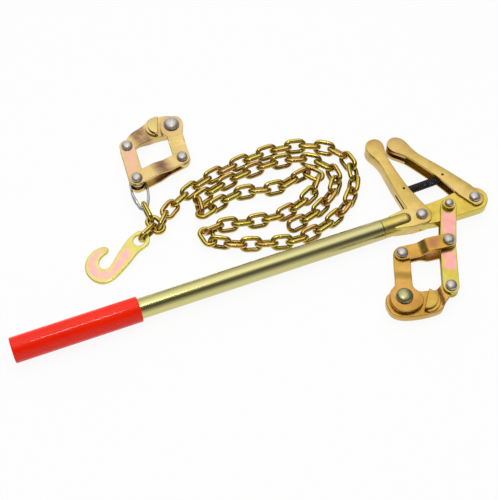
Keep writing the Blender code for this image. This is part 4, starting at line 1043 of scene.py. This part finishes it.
def link(start, end, roll, slack=(LINK_SLACK, LINK_SLACK)):
    """Points and faces of one link, and for each point how near the weld and how far inside it lies."""
    start, end = np.array(start, float), np.array(end, float)
    length = np.linalg.norm(end - start)
    t = (end - start) / length
    flat = np.cross((0.0, 0.0, 1.0), t)
    flat /= np.linalg.norm(flat)
    a = math.radians(roll)
    w = math.cos(a) * flat + math.sin(a) * np.cross(t, flat)
    n = np.cross(t, w)
    r = LINK_INNER / 2 + LINK_INWARD
    x0 = -slack[0] - LINK_INWARD + r
    x1 = length + slack[1] + LINK_INWARD - r
    bends = np.linspace(0, math.pi, LINK_BEND + 1)
    straight = np.linspace(x1, x0, 8)[1:-1]
    centre = [(x1 + r * math.sin(q), -r * math.cos(q), math.sin(q), -math.cos(q)) for q in bends]
    centre += [(x, r, 0.0, 1.0) for x in straight]
    centre += [(x0 - r * math.sin(q), r * math.cos(q), -math.sin(q), math.cos(q)) for q in bends]
    centre += [(x, -r, 0.0, -1.0) for x in straight[::-1]]
    points, weld, inside = [], [], []
    for x, y, ox, oy in centre:
        p = start + t * x + w * y
        o = t * ox + w * oy
        near = math.exp(-((x - (x0 + x1) / 2) / WELD_WIDTH) ** 2) if y > r * 0.99 else 0.0
        thick = WIRE / 2 * (1 + WELD_SWELL * near)
        for k in range(WIRE_SIDES):
            b = 2 * math.pi * k / WIRE_SIDES
            points.append(tuple(p + thick * (math.cos(b) * o + math.sin(b) * n)))
            weld.append(near)
            inside.append(max(0.0, -math.cos(b)))
    faces = []
    for i in range(len(centre)):
        j = (i + 1) % len(centre)
        for k in range(WIRE_SIDES):
            m = (k + 1) % WIRE_SIDES
            faces.append((i * WIRE_SIDES + k, i * WIRE_SIDES + m, j * WIRE_SIDES + m, j * WIRE_SIDES + k))
    return points, faces, weld, inside


CHAIN_TONES = [(0.42, 0.26, 0.04), (0.72, 0.49, 0.11), (0.60, 0.47, 0.08), (0.82, 0.60, 0.21)]
RUSSET = (0.72, 0.36, 0.14)
MOSS = (0.54, 0.52, 0.07)
chain_finish = plating("olive_gold_chain_zinc", CHAIN_TONES, RUSSET, MOSS, (0.10, 0.20), 95.0)


def lay_links(name, members, body, solid_name):
    """One piece of chain from links of (start, end, roll, number). The number gives each link its own tint,
    and painted shade darkens the inner side of the wire and the underside of the links."""
    points, faces, weld, smoke, tint = [], [], [], [], []
    for start, end, roll, number, *slack in members:
        p, f, near, inside = link(start, end, roll, *slack)
        faces += [tuple(len(points) + i for i in q) for q in f]
        points += p
        weld += near
        smoke += inside
        tint += [number * GOLDEN_SHARE % 1.0] * len(p)
    piece = solid(name, points, faces, 70)
    tint = np.array(tint)
    # Painted shade: on the inner side of the wire, where the links lie in each other, and low on each link,
    # towards the floor.
    height = plan(piece)[:, 2] / (LINK_INNER + 2 * WIRE)
    smoke = np.clip(0.6 * np.array(smoke) + 0.55 * step_up(-height, -0.42, -0.10), 0, 0.8)
    paint(piece, blush=0.55 * step_up(tint, 0.55, 0.95),
          rim=0.4 * step_up(-tint, -0.4, 0.0) + 0.15 * np.array(weld), smoke=smoke)
    return fit(piece, chain_finish, "olive_zinc", body, solid_name)


seats = link_seats()


def bend_at(index):
    """Angle between a link and the one before it."""
    if index >= len(seats):
        return 0.0
    a, b = (seats[i][1] - seats[i][0] for i in (index - 1, index))
    return math.acos(max(-1.0, min(1.0, float(a @ b) / LINK_PITCH ** 2)))


def seat(index):
    """A link of the chain, as lay_links takes it."""
    start, end, tilt = seats[index]
    return start, end, roll_of(index, tilt), index


FIRST_RUN = 2
STRAP_TIP_HALF = 2.7
SEAT_SLOPE = math.tan(math.radians(22.5))
strap_seat = STRAP_TIP_HALF * SEAT_SLOPE + 3 * GAP
lay_links("strap_end_link", [(*seat(0), (strap_seat, LINK_SLACK))], "chain_set", "end_link_strap")
lay_links("turn_end_link", [seat(1)], "chain_set", "end_link_turn")
begin = FIRST_RUN
number = 0
while begin < len(seats):
    stop = min(range(begin + RUN_LEAST, begin + RUN_MOST + 1), key=bend_at)
    if stop > len(seats) - RUN_LEAST:
        stop = len(seats)
    number += 1
    members = [seat(i) for i in range(begin, stop)]
    lay_links(f"chain_length_{number:02d}", members, "chain_set", f"chain_run_{number:02d}")
    begin = stop

# Strap: a band of bright steel bent into a pear shape round the first rivet of the chain gripper, with the
# end link in its narrow tip. Painted shade darkens its inner wall, inside the bend, and more lightly its
# outer wall.
STRAP_THICK = 2.6
STRAP_BELLY = 1.8
STRAP_LENGTH = 34.0
STRAP_TOP_HALF = CORE / 2 - 0.1
STRAP_HALF = 4.2
STRAP_ROUND = 0.45
TOP_RADIUS = 7.0
TIP_RADIUS = WIRE / 2 + 1.2
grip_at = pivot("chain_grip_swing")
down = (pivot("strap_swing") - grip_at) / np.linalg.norm(pivot("strap_swing") - grip_at)
across = np.array((-down[1], down[0]))
apex = grip_at + down * STRAP_LENGTH
round_at = STRAP_LENGTH - (TOP_RADIUS - RIVET_RADIUS - 2 * GAP)
lean = math.asin((TOP_RADIUS - TIP_RADIUS) / (round_at - TIP_RADIUS))
band = []
for a in np.linspace(-math.pi / 2 - lean, math.pi / 2 + lean, 33):
    x, y = -math.cos(a), math.sin(a)
    band.append((TOP_RADIUS * x - round_at, TOP_RADIUS * y, x, y, STRAP_TOP_HALF))
tip = []
for a in np.linspace(math.pi / 2 - lean, lean - math.pi / 2, 25):
    x, y = math.cos(a), math.sin(a)
    tip.append((TIP_RADIUS * x - TIP_RADIUS, TIP_RADIUS * y, x, y, STRAP_TIP_HALF))
one, two = [], []
for share in np.linspace(0.0, 1.0, 22)[1:-1]:
    x = band[-1][0] + (tip[0][0] - band[-1][0]) * share
    tall = STRAP_TOP_HALF
    tall += (STRAP_HALF - STRAP_TOP_HALF) * float(step_up(x + STRAP_LENGTH, BAR_HALF + 1.0, BAR_HALF + 6.0))
    tall -= (STRAP_HALF - STRAP_TIP_HALF) * float(step_up(x, -10, -4))
    for edge, a, b in ((one, band[-1], tip[0]), (two, band[0], tip[-1])):
        spot = [p + (q - p) * share for p, q in zip(a[:4], b[:4])]
        spot[1] += math.copysign(STRAP_BELLY * math.sin(math.pi * share), spot[1])
        edge.append((*spot, tall))
band = band + one + tip + two[::-1]
points = []
for x, y, ox, oy, tall in band:
    inset = STRAP_THICK - STRAP_ROUND
    flat = tall - STRAP_ROUND
    for grow, z in ((STRAP_ROUND, -tall), (inset, -tall), (STRAP_THICK, -flat), (STRAP_THICK, flat),
                    (inset, tall), (STRAP_ROUND, tall), (0, flat), (0, -flat)):
        at = apex + down * (x + ox * grow) + across * (y + oy * grow)
        points.append((*at, CHAIN_GRIP_Z + z))
faces = []
for i in range(len(band)):
    j = (i + 1) % len(band)
    for k in range(8):
        m = (k + 1) % 8
        faces.append((8 * i + k, 8 * i + m, 8 * j + m, 8 * j + k))
STRAP_TONES = [(0.40, 0.37, 0.35), (0.50, 0.47, 0.45), (0.60, 0.57, 0.54)]
SHADE = (0.14, 0.12, 0.11)
strap_finish = plating("bright_strap_steel", STRAP_TONES, SHADE, SILVER, (0.16, 0.30), 90.0, 0.1)
strap = solid("strap_band", points, faces, 50)
# Painted shade on the inner wall of the band, and lighter painted shade on its outer wall.
paint(strap, blush=np.tile((0, 0, 0, 0, 0, 0, 0.7, 0.7), len(band)), rim=0.0,
      smoke=np.tile((0, 0, 0.5, 0.5, 0, 0, 0, 0), len(band)))
fit(strap, strap_finish, "silver_steel", "strap", "chain_strap")

# Hook: cut from flat steel plate, hung on a link of its own through the turn of the chain. The plating
# bloomed pink on the flat and stayed yellow green along the cut edges and round the eye.
HOOK_THICK = 4.6
HOOK_REACH = 66.5
HOOK_DRAWN = 71.0
HOOK_EDGE = 0.8
HOOK_ANGLE = 196.5
HANGER_ANGLE = 208.0
EYE_RADIUS = 11.0
EYE_HOLE = 6.5
HOOK_CORNERS = ((9, 10.5), (20, 14.6), (36, 18.8), (51, 21.6), (63, 18.8), (70, 9), (71, -3), (66.5, -12.6),
                (57, -19), (45.5, -20.6), (36.5, -18.6), (32.5, -13.2), (36, -9.4), (45, -9.6), (52.5, -5.4),
                (54.5, 1.5), (50, 7), (43, 6.2), (32, 0.2), (20, -4.8), (8, -9.5))
hook_eye = pivot("hook_swing")
hanger_way = turn(HANGER_ANGLE)
hanger_end = hook_eye - hanger_way * (EYE_HOLE - HOOK_THICK / 2 * SEAT_SLOPE - GAP)
hanger_start = hanger_end - hanger_way * LINK_PITCH
link_z = rest_height(0)
slack = GAP + WIRE * 0.12
hanger = ((*hanger_start, link_z), (*hanger_end, link_z), 90, 4, (slack, slack))
lay_links("hook_hanger_link", [hanger], "chain_set", "hook_link")
along_hook = turn(HOOK_ANGLE)
beside = np.array((-along_hook[1], along_hook[0]))
corners = [(x * HOOK_REACH / HOOK_DRAWN, y) for x, y in HOOK_CORNERS]
corners += [(x, -y) for x, y in arc((0, 0), EYE_RADIUS + 0.6, 9, 115, 245)]
outline = [tuple(hook_eye + along_hook * s + beside * c) for s, c in eased(corners, 3, True)]
eye_low = link_z - HOOK_THICK / 2
slope = (eye_low - GAP) / (EYE_RADIUS + HOOK_REACH)
hook = plate("hook_plate", outline, eye_low, eye_low + HOOK_THICK, HOOK_EDGE, [circle(hook_eye, EYE_HOLE)],
             (hook_eye, along_hook, BAR_GRID), lambda along, upper: -slope * (along + EYE_RADIUS))
spots = plan(hook)[:, :2]
near = gap_to(spots, outline)
along = (spots - hook_eye) @ along_hook
HOOK_TONES = [(0.60, 0.54, 0.10), (0.66, 0.58, 0.16), (0.70, 0.60, 0.24)]
BLUSH = (0.80, 0.42, 0.40)
YELLOW_GREEN = (0.62, 0.62, 0.14)
hook_finish = plating("bloomed_hook_zinc", HOOK_TONES, BLUSH, YELLOW_GREEN, (0.18, 0.32), 40.0)
paint(hook, blush=step_up(near, 1.6, 5.0) * step_up(along, 10, 22))
# The yellow-green rim on the rounded edge is partly the plating's tint and partly a painted highlight.
edged(hook, outline, 0.5, HOOK_EDGE)
fit(hook, hook_finish, "rose_zinc", "hook", "chain_hook")

# Floor: a wide pale matt sheet that is white to the eye and in reflections, and keeps the shadow of the part.
# It is a round sheet that reaches far past the picture.
FLOOR_RADIUS = 30.0
FLOOR_SIDES = 64
FLOOR_WHITE = 0.915
ring = np.linspace(0, 2 * math.pi, FLOOR_SIDES + 1)[:-1]
floor_mesh = bpy.data.meshes.new("floor")
floor_mesh.from_pydata([(FLOOR_RADIUS * math.cos(q), FLOOR_RADIUS * math.sin(q), 0) for q in ring], [],
                       [tuple(range(FLOOR_SIDES))])
floor = bpy.data.objects.new("floor", floor_mesh)
bpy.context.scene.collection.objects.link(floor)
pale = bpy.data.materials.new("pale_floor")
pale.use_nodes = True
tree = pale.node_tree
tree.nodes.clear()
out = node(tree, "ShaderNodeOutputMaterial")
matt = node(tree, "ShaderNodeBsdfDiffuse", Color=(0.93, 0.93, 0.945, 1.0))
glow = node(tree, "ShaderNodeEmission", Color=(1, 1, 1, 1), Strength=1.0)
rays = node(tree, "ShaderNodeLightPath").outputs
seen = maths(tree, "MAXIMUM", rays["Is Camera Ray"], rays["Is Glossy Ray"])
through = maths(tree, "MAXIMUM", seen, rays["Is Transmission Ray"])
mixed = node(tree, "ShaderNodeMixShader")
tree.links.new(maths(tree, "MULTIPLY", through, FLOOR_WHITE), mixed.inputs["Fac"])
tree.links.new(matt.outputs[0], mixed.inputs[1])
tree.links.new(glow.outputs[0], mixed.inputs[2])
tree.links.new(mixed.outputs[0], out.inputs["Surface"])
floor_mesh.materials.append(pale)

# Studio light: one broad soft panel overhead with a hard front edge, a dark gap low in front of it and dark
# sides, one small strip lamp above the grip, and one soft box that fills the shadows.
PANELS = ((-90, 0.75), (-78, 0.68), (-64, 0.40), (-50, 0.15), (-38, 0.08), (-24, 0.10), (-13, 0.30),
          (-6, 0.85), (2, 1.32), (12, 1.44), (24, 1.44), (36, 1.28), (50, 1.00), (66, 0.75), (90, 0.55))
PANEL_MIDDLE = 0.08
PANEL_HALF = 0.40
SIDE_FROM = 0.64
SIDE_TONE = (0.14, 0.14, 0.15)
world = bpy.data.worlds.new("soft_panels")
bpy.context.scene.world = world
world.use_nodes = True
tree = world.node_tree
coord = node(tree, "ShaderNodeTexCoord")
parts = node(tree, "ShaderNodeSeparateXYZ")
tree.links.new(coord.outputs["Generated"], parts.inputs[0])
angle = maths(tree, "ARCTAN2", parts.outputs["Y"], parts.outputs["Z"])
share = ranged(tree, angle, 0.0, 1.0, -math.pi / 2, math.pi / 2)
light = ramp(tree, share, [((a + 90) / 180, (v, v, v)) for a, v in PANELS])
away = maths(tree, "ABSOLUTE", maths(tree, "SUBTRACT", parts.outputs["X"], PANEL_MIDDLE))
light = blend_colour(tree, ranged(tree, away, 0.0, 1.0, PANEL_HALF, SIDE_FROM), light, SIDE_TONE)
tree.links.new(light, tree.nodes["Background"].inputs["Color"])


def lamp(name, energy, size, at, aim):
    """A flat lamp of this size in metres, turned to its aim."""
    data = bpy.data.lights.new(name, "AREA")
    data.shape = "RECTANGLE"
    data.size, data.size_y = size
    data.energy = energy
    made = bpy.data.objects.new(name, data)
    made.location = at
    made.rotation_euler = (Vector(aim) - Vector(at)).to_track_quat("-Z", "Y").to_euler()
    bpy.context.scene.collection.objects.link(made)
    return made


lamp("strip_lamp", 2.0, (0.40, 0.13), (-0.18, -0.06, 1.6), (-0.18, -0.06, 0.0))
lamp("soft_box", 11.0, (2.0, 2.0), (0.0, 0.0, 1.5), (0.0, 0.0, 0.0)).visible_glossy = False

# Camera: a long lens at the height and distance of the picture. Its place and its aim are millimetres on the
# layout.
LENS = 82.8
SENSOR = 36.0
CAMERA_AT = (-410.0, -559.7, 1059.9)
CAMERA_AIM = (-184.7, 36.1, 0)
eye = bpy.data.cameras.new("camera")
eye.lens = LENS
eye.sensor_width = SENSOR
camera = bpy.data.objects.new("camera", eye)
camera.location = layout + Vector(CAMERA_AT) * MM
sight = layout + Vector(CAMERA_AIM) * MM - camera.location
camera.rotation_euler = sight.to_track_quat("-Z", "Y").to_euler()
bpy.context.scene.collection.objects.link(camera)
bpy.context.scene.camera = camera
bpy.context.scene.view_settings.view_transform = "Standard"
